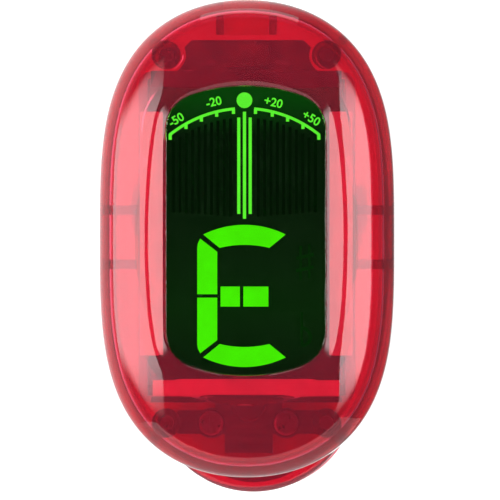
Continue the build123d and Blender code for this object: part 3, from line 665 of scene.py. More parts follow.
def back_shell_rows():
    """All sections of the back shell, from the door's opening outwards and back inside."""
    slot = np.where(near(ANGLES, 13, -45), 12.05, 11.25)
    track = np.where(near(ANGLES, 35.5, -22.5), 12.05, 11.25)
    flat = back_oval(BACK_RIM)
    rows = [ring(circle(10.2), 13.45), ring(circle(track), 13.45), ring(circle(track), 14.2),
            ring(circle(slot), 14.2), ring(circle(slot), BACK)]
    for share in (0.08, 0.4, 0.7):
        line = circle(slot) + (flat - circle(slot)) * share
        rows.append(ring(line, BACK))
    for lean in np.radians(np.linspace(0, 90, 15)):
        rows.append(ring(back_oval(BACK_RIM * (1 - np.sin(lean))), BACK - BACK_RIM * (1 - np.cos(lean))))
    rows += [ring(back_oval(0), SEAM + 0.12), ring(back_oval(0.12), SEAM), ring(back_oval(WALL), SEAM)]
    for lean in np.radians(np.linspace(90, 0, 8)):
        rows.append(ring(back_oval(WALL + 2.1 * (1 - np.sin(lean))), BACK - WALL - 2.1 * (1 - np.cos(lean))))
    rows += [ring(circle(12.3), 13.5), ring(circle(12.3), 12.7), ring(circle(11.0), 12.7),
             ring(circle(11.0), 9.7), ring(circle(10.2), 9.7)]
    return np.array(rows)


back = surface("shell_back", back_shell_rows(), wrap_rows=True, smooth_angle=32)
SCREWS = [(side * POST_X, z) for z in (TOP_POST_Z, LOW_POST_Z) for side in (1, -1)]


def bit(x, z, profile):
    """A round cutter along Y from a profile of (Y, radius)."""
    return surface("cutter", turned(profile, 1, (x, 0.0, z), 40), smooth_angle=30)


screw_hole = [(11, 0), (11, 0.85), (13.5, 0.85), (13.5, 1.4), (14.7, 1.4), (14.95, 1.65), (14.95, 0)]
spindle_hole = [(12, 0), (12, 1.85), (16, 1.85), (16, 0)]
cut(back, [bit(x, z, screw_hole) for x, z in SCREWS] + [bit(0, SPINDLE_Z, spindle_hole)], 32)
place(back, "head", MILKY_RED, "red_plastic", "back_shell")

# %% [markdown]
# ## The lens
# A plug of acrylic that fills the window, with a polished round edge, on a thin flange.

# %% Lens
def lens_outline(inset):
    """The window's line drawn smaller by the fit and by inset."""
    return window(-0.05 - inset)


plug = surface("lens_plug", slab(lens_outline, 2.1, 3.2, 0.12, (0, WINDOW_Z), 4), smooth_angle=40)
place(plug, "head", LENS, "clear_lens", "window_lens")

# %% [markdown]
# ## What the display shows
# The segments are thin plates on the display's face.  Each is an outline in the plane of the glass,
# given in millimetres from the head's centre, with arcs where the real segments are curved.

# %% Display segments
GLASS_Y = 3.6
SHOWN_X = -0.17
FILM = 0.02


def flat_plate(name, outline, depth):
    """A thin plate whose face stands out of the glass by depth: an outline of (x, z) points closed over
    its middle, front and back."""
    outline = np.asarray(outline, float) + [SHOWN_X, 0]
    middle = np.repeat(outline.mean(0)[None], len(outline), 0)
    front_y = GLASS_Y - depth
    back_y = front_y + FILM
    rows = [ring(middle, front_y), ring(outline, front_y), ring(outline, back_y), ring(middle, back_y)]
    return surface(name, np.array(rows), smooth_angle=20)


def upright_bar(x0, x1, z0, z1, depth=0.03):
    """A rectangle on the display."""
    return flat_plate("segment", [(x0, z0), (x1, z0), (x1, z1), (x0, z1)], depth)


def strip(name, upper, lower, depth):
    """A curved band between two lines of points that run the same way."""
    pairs = np.stack([upper, lower, lower, upper], 1) + [SHOWN_X, 0]
    y = GLASS_Y - depth + np.array([0.0, 0.0, FILM, FILM])
    grid = np.stack([pairs[..., 0], np.broadcast_to(y, pairs.shape[:2]), pairs[..., 1]], -1)
    first, last = [np.repeat(row.mean(1, keepdims=True), 4, 1) for row in (grid[:1], grid[-1:])]
    return surface(name, np.concatenate([first, grid, last]), smooth_angle=20)


def arc(radius, centre_z, x):
    """Points on a circle with its centre on the middle line, above the centre, at the given x."""
    return np.column_stack([x, centre_z + np.sqrt(radius**2 - x**2)])


# %% The note letter
NOTE_Z = -6.0


def note_parts():
    """The upper half of the letter: a curved top bar and a mitred upright."""
    top = arc(9.7, 1.41 - 9.7, np.linspace(-4.3, 4.3, 40))
    under = arc(11.0, -0.68 - 11.0, np.linspace(-2.6, 2.6, 40))
    bars = [strip("bar", top, under, 0.03)]
    upright = [(-4.93, -0.95), (-4.86, -0.5), (-4.62, -0.02), (-2.84, -1.4), (-2.84, -5.82), (-4.93, -5.82)]
    bars.append(flat_plate("upright", upright, 0.03))
    return bars


def flipped(pieces):
    """The same pieces turned over about the letter's middle height: z becomes twice the middle minus z."""
    centre = to_frame([0, 0, NOTE_Z])[2]
    for piece in pieces:
        co = np.empty(len(piece.data.vertices) * 3)
        piece.data.vertices.foreach_get("co", co)
        co = co.reshape(-1, 3)
        co[:, 2] = 2 * centre - co[:, 2]
        piece.data.vertices.foreach_set("co", co.ravel())
        piece.data.flip_normals()
    return pieces


middle_bars = [upright_bar(left, right, -5.02, -7.11) for left, right in ((-2.5, -0.48), (-0.12, 2.5))]
note = joined("display_note", note_parts() + flipped(note_parts()) + middle_bars, 20)
place(note, "head", NOTE_GREEN, "lcd_dark")

# %% Scale, needle and dot
scale = []
for side in (-1, 1):
    x = side * np.linspace(1.01, 7.9, 40)
    scale.append(strip("arc", arc(12.55, 1.15, x), arc(12.25, 1.15, x), 0.03))
    for tick in (1.15, 2.9, 4.5, 6.1, 7.75):
        top_z = float(arc(12.3, 1.15, np.array([tick]))[0, 1])
        scale.append(upright_bar(side * tick - 0.17, side * tick + 0.17, top_z - 0.42, top_z + 0.1, 0.032))
turn = np.linspace(0, 2 * np.pi, 48, endpoint=False)
scale.append(flat_plate("dot", np.column_stack([0.82 * np.cos(turn), 14.4 + 0.82 * np.sin(turn)]), 0.03))
scale.append(upright_bar(-0.17, 0.17, 2.05, 13.2))
scale += [upright_bar(left, right, 2.55, 12.6) for left, right in ((-0.76, -0.43), (0.43, 0.76))]
place(joined("display_scale", scale, 20), "head", SCALE_GREEN, "lcd_dark")

# %% What is not lit
unlit = []
for side in (-1, 1):
    for step in range(10):
        x = side * (1.45 + 0.66 * step)
        top_z = float(arc(12.0, 1.15, np.array([abs(x)]))[0, 1]) - 0.55
        unlit.append(upright_bar(x - 0.16, x + 0.16, 2.3 + 0.05 * step, top_z, 0.015))
place(joined("display_unlit_needles", unlit, 20), "head", UNLIT, "lcd_dark")

signs = []
for x, rise in ((5.85, -0.1), (6.75, 0.1)):
    signs.append(upright_bar(x - 0.12, x + 0.12, -4.3 + rise, -0.7 + rise, 0.02))
for z in (-3.2, -1.9):
    signs.append(flat_plate("sign", [(5.4, z - 0.35), (7.2, z + 0.05), (7.2, z + 0.4), (5.4, z)], 0.021))
bowl = np.linspace(-np.pi / 2, np.pi / 2, 20)
outer = np.column_stack([6.1 + 0.95 * np.cos(bowl), -10.25 + 1.05 * np.sin(bowl)])
inner = np.column_stack([6.1 + 0.6 * np.cos(bowl), -10.25 + 0.7 * np.sin(bowl)])
signs += [upright_bar(5.85, 6.1, -11.3, -7.7, 0.02), strip("bowl", outer, inner, 0.021)]
place(joined("display_unlit_signs", signs, 20), "head", FAINT, "lcd_dark")

# %% [markdown]
# ## Tape round the glass
# Pale tape holds the glass along both sides, and a pale reflector strip lies under it in front of the
# lamps.  Both lie behind the clear frame, which is why the frame looks bright along its sides and
# darker at its corners, where bare glass is behind it.  Dark tape seals the glass's upper edge, and a
# strip of foam closes the gap below the reflector.  They are flat, so plain blocks are enough.

# %% Tape, reflector and foam
PALE_TAPE = moulded("pale_tape", (0.60, 0.56, 0.55), (0.70, 0.66, 0.64), (0.5, 0.7), 3000, 0.000005)
DARK_TAPE = moulded("dark_tape", (0.035, 0.022, 0.018), (0.06, 0.04, 0.03), (0.5, 0.7), 3000, 0.000005)
TAPE_DEPTH = (3.53, 3.59)
tape = [block(x, TAPE_DEPTH, (-12.2, 13.2)) for x in pair(9.9, 1.14)]
tape.append(block((-9.7, 9.7), TAPE_DEPTH, (-16.4, -14.75)))
place(joined("pale_tape", tape, 20), "head", PALE_TAPE, "lamp_plastic")
seal = block((-9.9, 9.9), (3.5, 3.58), (15.75, 17.45), "seal_tape")
place(seal, "head", DARK_TAPE, "strip_rubber")
foam = block((-9.9, 9.9), (4.28, 4.38), (-17.08, -16.5), "foam_strip")
place(foam, "head", RUBBER, "strip_rubber")

# %% [markdown]
# ## Numbers on the scale
# A text object is turned into a mesh, thickened, and laid on the display's face.

# %% Scale numbers
def label(text, x, z, lean):
    """Text on the display, its middle at (x, z), leaning by so many degrees, as a thin solid mesh."""
    curve = bpy.data.curves.new("label", "FONT")
    curve.body, curve.align_x, curve.align_y = text, "CENTER", "CENTER"
    curve.size, curve.offset, curve.extrude = 1.25, 0.025, FILM / 2
    holder = bpy.data.objects.new("label", curve)
    bpy.context.scene.collection.objects.link(holder)
    bpy.context.view_layer.update()
    mesh = bpy.data.meshes.new_from_object(holder.evaluated_get(bpy.context.evaluated_depsgraph_get()))
    bpy.data.objects.remove(holder)
    mesh.transform(Matrix.Rotation(np.radians(90), 4, "X"))
    mesh.transform(Matrix.Rotation(np.radians(-lean), 4, "Y"))
    mesh.transform(Matrix.Translation((x + SHOWN_X, GLASS_Y - FILM, z)))
    mesh.transform(Matrix.Translation(Vector(CENTRE)) @ Matrix.Scale(MM, 4))
    piece = bpy.data.objects.new("label", mesh)
    bpy.context.scene.collection.objects.link(piece)
    return piece


labels = [label("-50", -7.1, 12.35, 30), label("-20", -3.2, 14.2, 12),
          label("+20", 3.0, 14.15, -13), label("+50", 6.95, 12.5, -31)]
place(joined("display_numbers", labels, 20), "head", SCALE_GREEN, "lcd_dark")

# %% [markdown]
# ## The battery door
# A disc that drops into the back and turns under two lips.  Its edge is a radius that depends on the
# angle: it steps out over the two lugs, but only in the lower half of its thickness.  The coin slot
# is cut at the end, as the mould's insert does.

# %% Battery door
def door_rows():
    """Rings of the door: flat inside, lugs up to Y = 14.1, then the plain edge with a small round."""
    lug = np.where(near(ANGLES, 12, 0), 11.95, 11.2)
    hub = np.repeat([[0.0, CELL_Z]], ROUND, 0)
    rows = [ring(hub, 13.5), ring(circle(6.0), 13.5), ring(circle(lug - 0.05), 13.5)]
    rows += [ring(circle(lug), 13.55), ring(circle(lug), 14.08), ring(circle(11.2), 14.1)]
    for lean in np.radians(np.linspace(90, 0, 6)):
        rows.append(ring(circle(11.2 - 0.3 * (1 - np.sin(lean))), BACK - 0.3 * (1 - np.cos(lean))))
    steps = ((10.7, 0.0), (9.2, 0.0), (9.0, 0.12), (8.8, 0.12), (8.6, 0.0), (4.0, 0.0))
    rows += [ring(circle(radius), BACK - drop) for radius, drop in steps]
    return np.array(rows + [ring(hub, BACK)])


def slot_line(inset):
    """The coin slot's outline: two half circles joined by straight sides."""
    turn = np.linspace(0, 2 * np.pi, 64, endpoint=False)
    reach = 0.9 - inset
    end = np.where(np.sin(turn) >= 0, 5.6, -5.6)
    return np.column_stack([reach * np.cos(turn), CELL_Z + reach * np.sin(turn) + end])


door = surface("door", door_rows(), smooth_angle=32)
cut(door, [surface("cutter", slab(slot_line, 14.2, 16.0, 0.02, (0, CELL_Z)), smooth_angle=30)], 32)
place(door, "battery_door", MILKY_RED, "red_plastic", "battery_door")

# %% [markdown]
# ## Plates cut across the clip
# Ears, lugs and the arm are outlines in Y and Z with a thickness along X.  An outline is drawn as arcs
# and straight lines, spread into evenly spaced points, and moved inwards along its own normals for
# the rounded rims.

# %% Outlines in Y and Z
def spread(points, count=200):
    """A closed outline as evenly spaced points along its length."""
    closed = np.vstack([points, points[:1]])
    length = np.concatenate([[0], np.cumsum(np.hypot(*np.diff(closed, axis=0).T))])
    at = np.linspace(0, length[-1], count, endpoint=False)
    return np.column_stack([np.interp(at, length, closed[:, k]) for k in (0, 1)])


def moved_in(points, inset):
    """Each point of a closed outline moved by inset along the inward normal: the tangent turned by
    90 degrees to the left, for an outline that runs anticlockwise."""
    a, b = points.T
    if np.sum(a * np.roll(b, -1) - np.roll(a, -1) * b) < 0:
        points = points[::-1]
    tangent = np.roll(points, -1, 0) - np.roll(points, 1, 0)
    tangent /= np.hypot(*tangent.T)[:, None]
    return points + inset * np.column_stack([-tangent[:, 1], tangent[:, 0]])


def slab_x(points, left, right, rim):
    """A plate from X = left to X = right with an outline in Y and Z and rounded rims."""
    outline = spread(points)
    hub = outline.mean(0)
    grid = slab(lambda inset: moved_in(outline, inset), left, right, rim, hub)
    return surface("plate", grid[..., [1, 0, 2]], smooth_angle=34)


def about(centre, radius, start, stop, steps=40):
    """Points on an arc about a centre, from one angle in degrees to another."""
    turn = np.radians(np.linspace(start, stop, steps))
    return np.column_stack([centre[0] + radius * np.cos(turn), centre[1] + radius * np.sin(turn)])


def bend(before, corner, after, radius, steps):
    """A rounded corner: a parabola from a place at radius along one side to the same on the other."""
    before, corner, after = [np.array(point, float) for point in (before, corner, after)]
    first = corner + (before - corner) / np.hypot(*(before - corner)) * radius
    last = corner + (after - corner) / np.hypot(*(after - corner)) * radius
    share = np.linspace(0, 1, steps)[:, None]
    return (1 - share) ** 2 * first + 2 * share * (1 - share) * corner + share**2 * last


def ear_line(centre, radius, base_y, low, high):
    """An ear: a circle joined to a base line at Y = base_y.  The straight sides touch the circle
    where the radius meets them squarely, at the angle whose cosine is radius / distance.  The two
    corners of the base are rounded, so that its rim can be moved inwards cleanly."""
    centre = np.array(centre, float)
    facing = 0.0 if centre[0] > base_y else 180.0
    angles = []
    for z, side in ((low, -1), (high, 1)):
        away = np.array([base_y, z]) - centre
        reach = np.degrees(np.arccos(radius / np.hypot(*away)))
        bearing = np.degrees(np.arctan2(away[1], away[0]))
        turned_by = reach * (side if facing else -side)
        angles.append((bearing + turned_by - facing + 180) % 360 - 180 + facing)
    round_end = about(centre, radius, *angles)
    foot, head = (base_y, low), (base_y, high)
    lower = bend(head, foot, round_end[0], 0.7, 7)
    upper = bend(foot, head, round_end[-1], 0.7, 7)
    return np.vstack([lower, round_end, upper[::-1]])


# %% [markdown]
# ## Swivel and arm
# Black nylon parts.  The swivel is a turned disc on a spindle with two ears; the arm is a bar with a
# knuckle at each end, widened between them.

# %% Swivel and arm
TILT, ARM, PIVOT = (19.5, SPINDLE_Z), (21.6, 8.2), (30.9, -1.0)
disc_profile = [(14.95, 0), (14.95, 4.1), (15.1, 4.3), (15.95, 4.3), (16.2, 4.05), (16.2, 0)]
spindle_profile = [(9.7, 0), (9.7, 1.6), (9.9, 1.8), (10.28, 1.8), (10.3, 1.3), (10.9, 1.3), (10.92, 1.8),
                   (15.0, 1.8), (15.0, 0)]
yoke = [surface("disc", turned(disc_profile, 1, (0, 0, SPINDLE_Z), 96), smooth_angle=30)]
yoke.append(surface("spindle", turned(spindle_profile, 1, (0, 0, SPINDLE_Z), 64), smooth_angle=30))
ear = ear_line(TILT, 2.3, 16.0, SPINDLE_Z - 2.5, SPINDLE_Z + 2.5)
for side in (-1, 1):
    yoke.append(slab_x(ear, *sorted((side * 2.5, side * 4.15)), 0.25))
place(joined("swivel", yoke, 32), "swivel", BLACK, "black_plastic", "swivel_yoke")


# %% The arm's outline
def link_line(first, second):
    """Two circles joined by a bar narrower than both.  Each end is a centre, its radius and the bar's
    half width there; its arc stops at the angle whose sine is half width / radius."""
    (y1, z1), (y2, z2) = first[0], second[0]
    bearing = np.degrees(np.arctan2(z2 - z1, y2 - y1))
    arcs = []
    for (centre, radius, half), facing in ((second, bearing), (first, bearing + 180)):
        stop = 180 - np.degrees(np.arcsin(half / radius))
        arcs.append(about(centre, radius, facing - stop, facing + stop))
    return np.vstack(arcs)


def rounded(corners, radius):
    """A polygon with every corner rounded."""
    neighbours = zip(np.roll(corners, 1, 0), corners, np.roll(corners, -1, 0))
    return np.vstack([bend(before, corner, after, radius, 9) for before, corner, after in neighbours])


# %% Arm
core = link_line((TILT, 2.1, 1.7), (ARM, 2.3, 1.9))
wide = rounded([(18.0, -11.8), (21.0, -11.8), (23.3, 4.7), (19.9, 4.7)], 1.1)
knuckle = np.vstack([about(ARM, 2.3, -30, 210), rounded([(19.8, 4.1), (23.4, 4.1)], 0.3)])
layers = ((core, 2.38, 0.35), (wide, 5.0, 0.6), (knuckle, 3.98, 0.35))
link = [slab_x(outline, -half, half, rim) for outline, half, rim in layers]
place(joined("arm", link, 34), "arm", BLACK, "black_plastic", "arm_link")

# %% [markdown]
# ## The two levers
# Each lever is a plate with a full round tip.  At every point the distance to its edge decides how
# thick the plate is, so the rims come out round all the way.  The back lever is the same plate bent
# along its path: the height along the plate is turned into a place on an arc by adding up cosines
# and sines.  Grip grooves are a small wave taken off the outer face.

# %% A lever's outline
TIP, BROAD, NARROW, CORNER = -26.7, 10.7, 8.6, 4.0
WAIST_FROM, WAIST_LENGTH = -12.4, 8.8


def half_width(s, top):
    """A paddle's half width at height s: a circle at the tip, an S-shaped narrowing at the waist, and
    a quarter circle at the top corner."""
    low = np.clip(s - TIP, 0, BROAD)
    share = np.clip((s - WAIST_FROM) / WAIST_LENGTH, 0, 1)
    width = np.sqrt(np.maximum(2 * BROAD * low - low**2, 0))
    width = np.where(s < TIP + BROAD, width, BROAD - (BROAD - NARROW) * share**2 * (3 - 2 * share))
    down = np.clip(CORNER - (top - s), 0, CORNER)
    return np.minimum(width, np.where(down > 0, NARROW - CORNER + np.sqrt(CORNER**2 - down**2), width))


def heights(top, tip_reach, first, last, counts):
    """Heights from the tip to the top: squares of even steps near the tip, even steps between, and
    sines of even angles over the round top corner, so that points lie close where the outline turns."""
    at_tip, between, at_top = counts
    return np.concatenate([TIP + tip_reach * np.linspace(0, 1, at_tip) ** 2,
                           np.linspace(TIP + first, top - last, between),
                           top - CORNER + CORNER * np.sin(np.linspace(0, np.pi / 2, at_top))])


def edge_distance(points, edge):
    """The distance from each point to a line of points: each is measured to the nearest place on every
    segment, found by dropping a perpendicular and stopping it at the segment's ends."""
    start, along = edge[:-1], np.diff(edge, axis=0)
    length = (along**2).sum(1)
    best = np.full(points.shape[:2], np.inf)
    for row, line in enumerate(points):
        to = line[:, None] - start
        share = np.clip((to * along).sum(-1) / length, 0, 1)[..., None]
        best[row] = np.sqrt(((to - share * along) ** 2).sum(-1).min(-1))
    return best


def rim_fall(distance, rim):
    """How far a round rim has fallen at a distance from the edge: rim minus the root of rim squared
    minus (rim - distance) squared, and nothing further in than rim."""
    inside = np.clip(rim - distance, 0, rim)
    return rim - np.sqrt(rim**2 - inside**2)


def two_faces(x, height, first, second, middle_y):
    """A closed skin of (x, depth, height): each row runs across the front face and back across the
    other, and one more row shrinks to the middle depth at the top."""
    sheet = np.concatenate([np.stack([x, first, height], -1), np.stack([x, second, height], -1)[:, ::-1]], 1)
    top_row = sheet[-1:].copy()
    top_row[..., 1] = middle_y
    return np.concatenate([sheet, top_row])


# %% A lever as a flat plate
def lever_grid(top, front, back, front_rim, back_rim, groove=None):
    """A paddle in flat form, from depth front to depth back, with its two rims' radii.  The distance to
    the edge is found against an outline with many more points than the plate has rows."""
    s = heights(top, 1.2, 1.8, 4.4, (10, 110, 14))
    x = half_width(s, top)[:, None] * np.sin(np.linspace(-np.pi / 2, np.pi / 2, 25))
    height = np.broadcast_to(s[:, None], x.shape)
    fine = heights(top, 3.0, 3.01, 4.01, (80, 300, 60))
    edge = np.concatenate([np.column_stack([half_width(fine, top), fine]), [[0.0, top]]])
    distance = edge_distance(np.stack([np.abs(x), height], -1), edge)
    distance[:, [0, -1]] = 0.0
    first = front + rim_fall(distance, front_rim)
    second = back - rim_fall(distance, back_rim)
    if groove is not None:
        second = second - groove(x, height)
    return two_faces(x, height, first, second, (front + back) / 2)


def grip(x, s):
    """Grooves 0.35 mm deep and 1.5 mm apart on the thumb's side of the handle."""
    wave = np.clip(np.cos(2 * np.pi * (s - 3.2) / 1.5), 0, 1) ** 0.7
    inside = np.clip((6.3 - np.abs(x)) / 0.8, 0, 1) * (s > 2.6) * (s < 10.2)
    return 0.35 * wave * inside


# %% Front lever
front_lever = [surface("plate", lever_grid(10.0, 24.6, 26.8, 0.8, 0.3), smooth_angle=34)]
pivot_lug = ear_line(PIVOT, 2.4, 26.5, PIVOT[1] - 4.5, PIVOT[1] + 4.5)
arm_lug = ear_line(ARM, 2.3, 24.9, ARM[1] - 3.6, ARM[1] + 1.7)
for side in (-1, 1):
    front_lever.append(slab_x(pivot_lug, *sorted((side * 6.3, side * 8.28)), 0.3))
    front_lever.append(slab_x(arm_lug, *sorted((side * 4.12, side * 6.28)), 0.3))
place(joined("lever_front", front_lever, 34), "clip_front", CLIP_RED, "red_plastic", "front_lever")

# %% Back lever
BEND_START, BEND_LENGTH, BEND_ANGLE = -0.58, 1.54, 22.0


def bent(grid, middle_y):
    """The flat plate bent backwards: the lean grows steadily along the bend and then stays.  A point's
    place is the sum of cosines and sines of the lean along the way, plus its depth along the normal."""
    s = grid[..., 2]
    track = np.linspace(TIP, 20, 4000)
    lean = np.radians(BEND_ANGLE) * np.clip((track - BEND_START) / BEND_LENGTH, 0, 1)
    step = track[1] - track[0]
    up = TIP + np.concatenate([[0], np.cumsum(np.cos(lean[:-1]) * step)])
    out = middle_y + np.concatenate([[0], np.cumsum(np.sin(lean[:-1]) * step)])
    here = np.interp(s, track, lean)
    depth = grid[..., 1] - middle_y
    y = np.interp(s, track, out) + depth * np.cos(here)
    z = np.interp(s, track, up) - depth * np.sin(here)
    return np.stack([grid[..., 0], y, z], -1)


back_lever = [surface("plate", bent(lever_grid(12.38, 35.0, 37.2, 0.3, 0.8, grip), 36.1), smooth_angle=34)]
moving_lug = ear_line(PIVOT, 2.4, 35.3, PIVOT[1] - 4.5, PIVOT[1] + 3.0)
for side in (-1, 1):
    back_lever.append(slab_x(moving_lug, *sorted((side * 4.12, side * 6.08)), 0.3))
place(joined("lever_back", back_lever, 34), "clip_back", CLIP_RED, "red_plastic", "back_lever")

# %% [markdown]
# ## Pads, pin and spring
# The pads carry fine ribs so that they hold a varnished headstock.  The pin is a turned part with
# riveted ends.  The spring's wire follows a leg, a helix round the pin and the other leg; a circle is
# carried along that path on two directions at right angles to it.  One leg belongs to each lever, but
# the spring is one fixed mesh that rides on neither.

# %% Pads
PAD_TIP, PAD_TOP, PAD_HALF, PAD_EDGE = -25.7, -9.6, 7.6, 0.35
GROOVE_DEPTH, GROOVE_PITCH = 0.25, 1.3


def pad_grid(front, back, ribbed_back):
    """A pad: a half circle at its tip, straight at its top.  Grooves run across its gripping side where
    the cosine of the height is high, and stop short of the edges."""
    s = np.concatenate([PAD_TIP + np.linspace(0, 1, 9) ** 2, np.linspace(PAD_TIP + 1.15, PAD_TOP - 0.25, 150),
                        PAD_TOP - 0.2 + 0.2 * np.linspace(0, 1, 4)])
    low = np.clip(s - PAD_TIP, 0, PAD_HALF)
    width = np.sqrt(np.maximum(2 * PAD_HALF * low - low**2, 0))
    x = width[:, None] * np.sin(np.linspace(-np.pi / 2, np.pi / 2, 21))
    height = np.broadcast_to(s[:, None], x.shape)
    centre = PAD_TIP + PAD_HALF
    from_side = PAD_HALF - np.where(height < centre, np.hypot(x, height - centre), np.abs(x))
    distance = np.clip(np.minimum(from_side, PAD_TOP - height), 0, PAD_EDGE)
    fall = rim_fall(distance, PAD_EDGE)
    inside = (distance >= PAD_EDGE - 0.001) * (np.abs(x) < PAD_HALF - 0.9)
    grooves = GROOVE_DEPTH * inside * (np.cos(2 * np.pi * (height - PAD_TIP) / GROOVE_PITCH) > 0.55)
    first = front + (fall * 0.2 if ribbed_back else fall + grooves)
    second = back - (fall + grooves if ribbed_back else fall * 0.2)
    return two_faces(x, height, first, second, (front + back) / 2)


front_pad = surface("pad_front", pad_grid(26.82, 28.4, True), smooth_angle=34)
place(front_pad, "clip_front", RUBBER, "pad_rubber", "front_pad")
back_pad = surface("pad_back", pad_grid(33.4, 34.98, False), smooth_angle=34)
place(back_pad, "clip_back", RUBBER, "pad_rubber", "back_pad")

# %% Pin
half_pin = [(0.0, 1.2), (8.33, 1.2), (8.35, 1.75), (8.6, 1.8), (8.8, 1.6), (8.93, 1.2), (8.95, 0.0)]
pin_profile = [(-x, r) for x, r in reversed(half_pin)] + half_pin[1:]
pin = surface("pin", turned(pin_profile, 0, (0, *PIVOT), 48), smooth_angle=40)
place(pin, "clip_front", SCREW_STEEL, "screw_steel", "pivot_pin")


# %% Spring
COIL_RADIUS, COIL_PITCH, COIL_TURNS, LEG = 2.1, 0.95, 6.5 - 35 / 360, 9.0
FRONT_LEAN = np.radians(9.0)


def spring_path():
    """The wire's middle line: a helix round the pin, and a leg along the tangent at each of its ends."""
    turn = np.linspace(0, 2 * np.pi * COIL_TURNS, 260)
    x = (turn / turn[-1] - 0.5) * COIL_TURNS * COIL_PITCH
    y = PIVOT[0] - COIL_RADIUS * np.cos(FRONT_LEAN + turn)
    z = PIVOT[1] - COIL_RADIUS * np.sin(FRONT_LEAN + turn)
    coil = np.column_stack([x, y, z])
    first, last = coil[1] - coil[0], coil[-1] - coil[-2]
    first, last = first / np.linalg.norm(first), last / np.linalg.norm(last)
    away = np.linspace(LEG, 0.3, 16)[:, None]
    return np.concatenate([coil[0] - first * away, coil, coil[-1] + last * away[::-1]])


def wire_grid(path, radius):
    """A round wire along a path: the circle lies in two directions square to the path, the first of
    them square to X as well, and both ends close over a small dome."""
    tangent = np.gradient(path, axis=0)
    tangent /= np.linalg.norm(tangent, axis=1, keepdims=True)
    side = np.cross(tangent, [1.0, 0.0, 0.0])
    side /= np.linalg.norm(side, axis=1, keepdims=True)
    other = np.cross(tangent, side)
    turn = np.linspace(0, 2 * np.pi, 14, endpoint=False)[None, :, None]
    circle_rows = path[:, None] + radius * (np.cos(turn) * side[:, None] + np.sin(turn) * other[:, None])
    rows = []
    for end, sign in ((0, -1), (-1, 1)):
        cap = []
        for share in (0.0, 0.5, 0.85):
            middle = path[end] + sign * tangent[end] * radius * 0.5 * (1 - share)
            reach = radius * np.sin(np.arccos(1 - share)) if share else 0.0
            cap.append(middle + reach * (np.cos(turn[0]) * side[end] + np.sin(turn[0]) * other[end]))
        rows.append(cap)
    return np.concatenate([rows[0], circle_rows, rows[1][::-1]])


spring = surface("spring", wire_grid(spring_path(), 0.4), smooth_angle=50)
spring.data.materials.append(SPRING_STEEL)
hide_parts("torsion_spring")
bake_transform(spring)
print("spring:", len(spring.data.polygons), "faces")

# %% [markdown]
# ## Stage, light and camera
# The object hangs over a plain pale floor in a white studio.  A wide soft box on the left and a narrow
# one on the right draw the long pale streaks down both sides of the dome; both fade towards their
# upper and lower ends, and a third box lights the top.  The world is white where it is seen directly or
# straight through the plastic.  Where the polish mirrors it, it is bright behind the object and dark
# in front, as in a studio with a dark room behind the camera, and darker on the right and below,
# which keeps the right rim deep red.

# %% Floor
FLOOR_HALF, FLOOR_DROP = 0.4, 0.25
floor_z = cad_bounds[0][2] - FLOOR_DROP
PALE = finish("pale_floor", Roughness=0.9)
varied(PALE, "Base Color", 0.93, 0.96, 8, 2, 0.3)
floor_mesh = bpy.data.meshes.new("floor")
corners = [(x * FLOOR_HALF, y * FLOOR_HALF, floor_z) for x, y in ((-1, -1), (1, -1), (1, 1), (-1, 1))]
floor_mesh.from_pydata(corners, [], [(0, 1, 2, 3)])
floor_mesh.materials.append(PALE)
floor = bpy.data.objects.new("floor", floor_mesh)
bpy.context.scene.collection.objects.link(floor)
print("floor:", round(floor_z, 3), "m")

# %% Lights
HEAD = Vector(to_frame([0, 5, 0]))


def computed(owner, operation, first, second):
    """One piece of arithmetic on a socket and a second term, which is a socket or a number."""
    node = add(owner, "ShaderNodeMath", operation=operation)
    wire(owner, first, node.inputs[0])
    if isinstance(second, float):
        node.inputs[1].default_value = second
    else:
        wire(owner, second, node.inputs[1])
    return node.outputs["Value"]


def fade_ends(lamp):
    """Dims a lamp towards its two ends: full strength up to 0.28 of its height from the middle, and a
    twentieth at the ends."""
    lamp.use_nodes = True
    on_lamp = add(lamp, "ShaderNodeNewGeometry")
    split = add(lamp, "ShaderNodeSeparateXYZ")
    wire(lamp, on_lamp.outputs["Parametric"], split.inputs["Vector"])
    from_middle = computed(lamp, "SUBTRACT", split.outputs["Y"], 0.5)
    distance = computed(lamp, "ABSOLUTE", from_middle, 0.0)
    strength = remap(lamp, distance, (0.28, 0.5), (1.0, 0.05), smooth=True)
    wire(lamp, strength, lamp.node_tree.nodes["Emission"].inputs["Strength"])


def soft_box(name, azimuth, elevation, distance, width, height, radiance):
    """A rectangular lamp that faces the head.  Its power is pi times its area times its brightness."""
    lamp = bpy.data.lights.new(name, "AREA")
    lamp.shape, lamp.size, lamp.size_y = "RECTANGLE", width, height
    lamp.energy = np.pi * width * height * radiance
    fade_ends(lamp)
    holder = bpy.data.objects.new(name, lamp)
    a, e = np.radians(azimuth), np.radians(elevation)
    away = Vector((np.sin(a) * np.cos(e), -np.cos(a) * np.cos(e), np.sin(e)))
    holder.location = HEAD + away * distance
    holder.rotation_euler = (-away).to_track_quat("-Z", "Y").to_euler()
    bpy.context.scene.collection.objects.link(holder)
    print(name, round(lamp.energy, 2), "W")


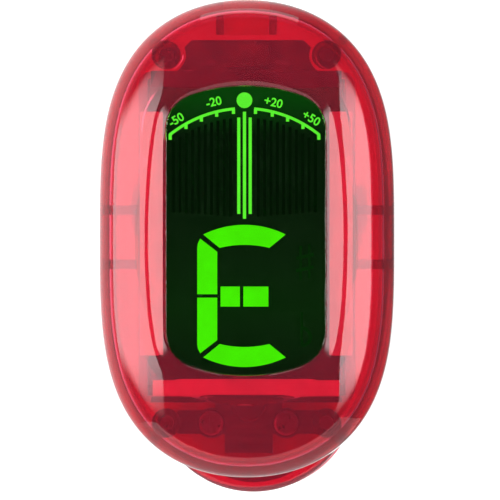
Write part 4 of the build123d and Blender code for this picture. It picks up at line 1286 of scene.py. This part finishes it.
soft_box("left_box", -52.0, 0, 0.6, 0.54, 0.38, 5.2)
soft_box("right_box", 35.0, 0, 0.6, 0.16, 0.38, 5.6)
soft_box("top_box", 0, 75, 0.9, 0.8, 0.5, 2.0)

# %% World
DIRECT = 1.4
world = bpy.data.worlds.new("studio")
bpy.context.scene.world = world
world.use_nodes = True
background = world.node_tree.nodes["Background"]
background.inputs["Color"].default_value = (1.0, 1.0, 1.0, 1.0)
direction = add(world, "ShaderNodeTexCoord")
split = add(world, "ShaderNodeSeparateXYZ")
wire(world, direction.outputs["Generated"], split.inputs["Vector"])
front_to_back = remap(world, split.outputs["Y"], (-0.45, 0.1), (0.015, 1.2))
left_to_right = remap(world, split.outputs["X"], (0.0, 0.5), (1.0, 0.15))
below_to_level = remap(world, split.outputs["Z"], (-0.7, -0.1), (0.35, 1.0))
darker_sides = computed(world, "MULTIPLY", left_to_right, below_to_level)
mirrored = computed(world, "MULTIPLY", front_to_back, darker_sides)
path = add(world, "ShaderNodeLightPath")
strength = add(world, "ShaderNodeMix")
strength.inputs["A"].default_value = DIRECT
wire(world, computed(world, "GREATER_THAN", path.outputs["Glossy Depth"], 0.5), strength.inputs["Factor"])
wire(world, mirrored, strength.inputs["B"])
wire(world, strength.outputs["Result"], background.inputs["Strength"])
print("world:", DIRECT, "seen directly")

# %% Camera
camera_data = bpy.data.cameras.new("camera")
camera = bpy.data.objects.new("camera", camera_data)
bpy.context.scene.collection.objects.link(camera)
AIM = Vector(to_frame([0.31, 6.0, -1.21]))
YAW, AWAY = np.radians(2.0), 2.0
camera.location = AIM + Vector((np.sin(YAW), -np.cos(YAW), 0)) * AWAY
camera.rotation_euler = (AIM - camera.location).to_track_quat("-Z", "Y").to_euler()
SENSOR, FRAME = 36, 500 / 9.58 * MM
camera_data.sensor_width = SENSOR
camera_data.lens = SENSOR * AWAY / FRAME
camera_data.clip_end = 20
bpy.context.scene.camera = camera
bpy.context.scene.view_settings.view_transform = "Standard"
print("camera lens", round(camera_data.lens, 1), "mm at", AWAY, "m")
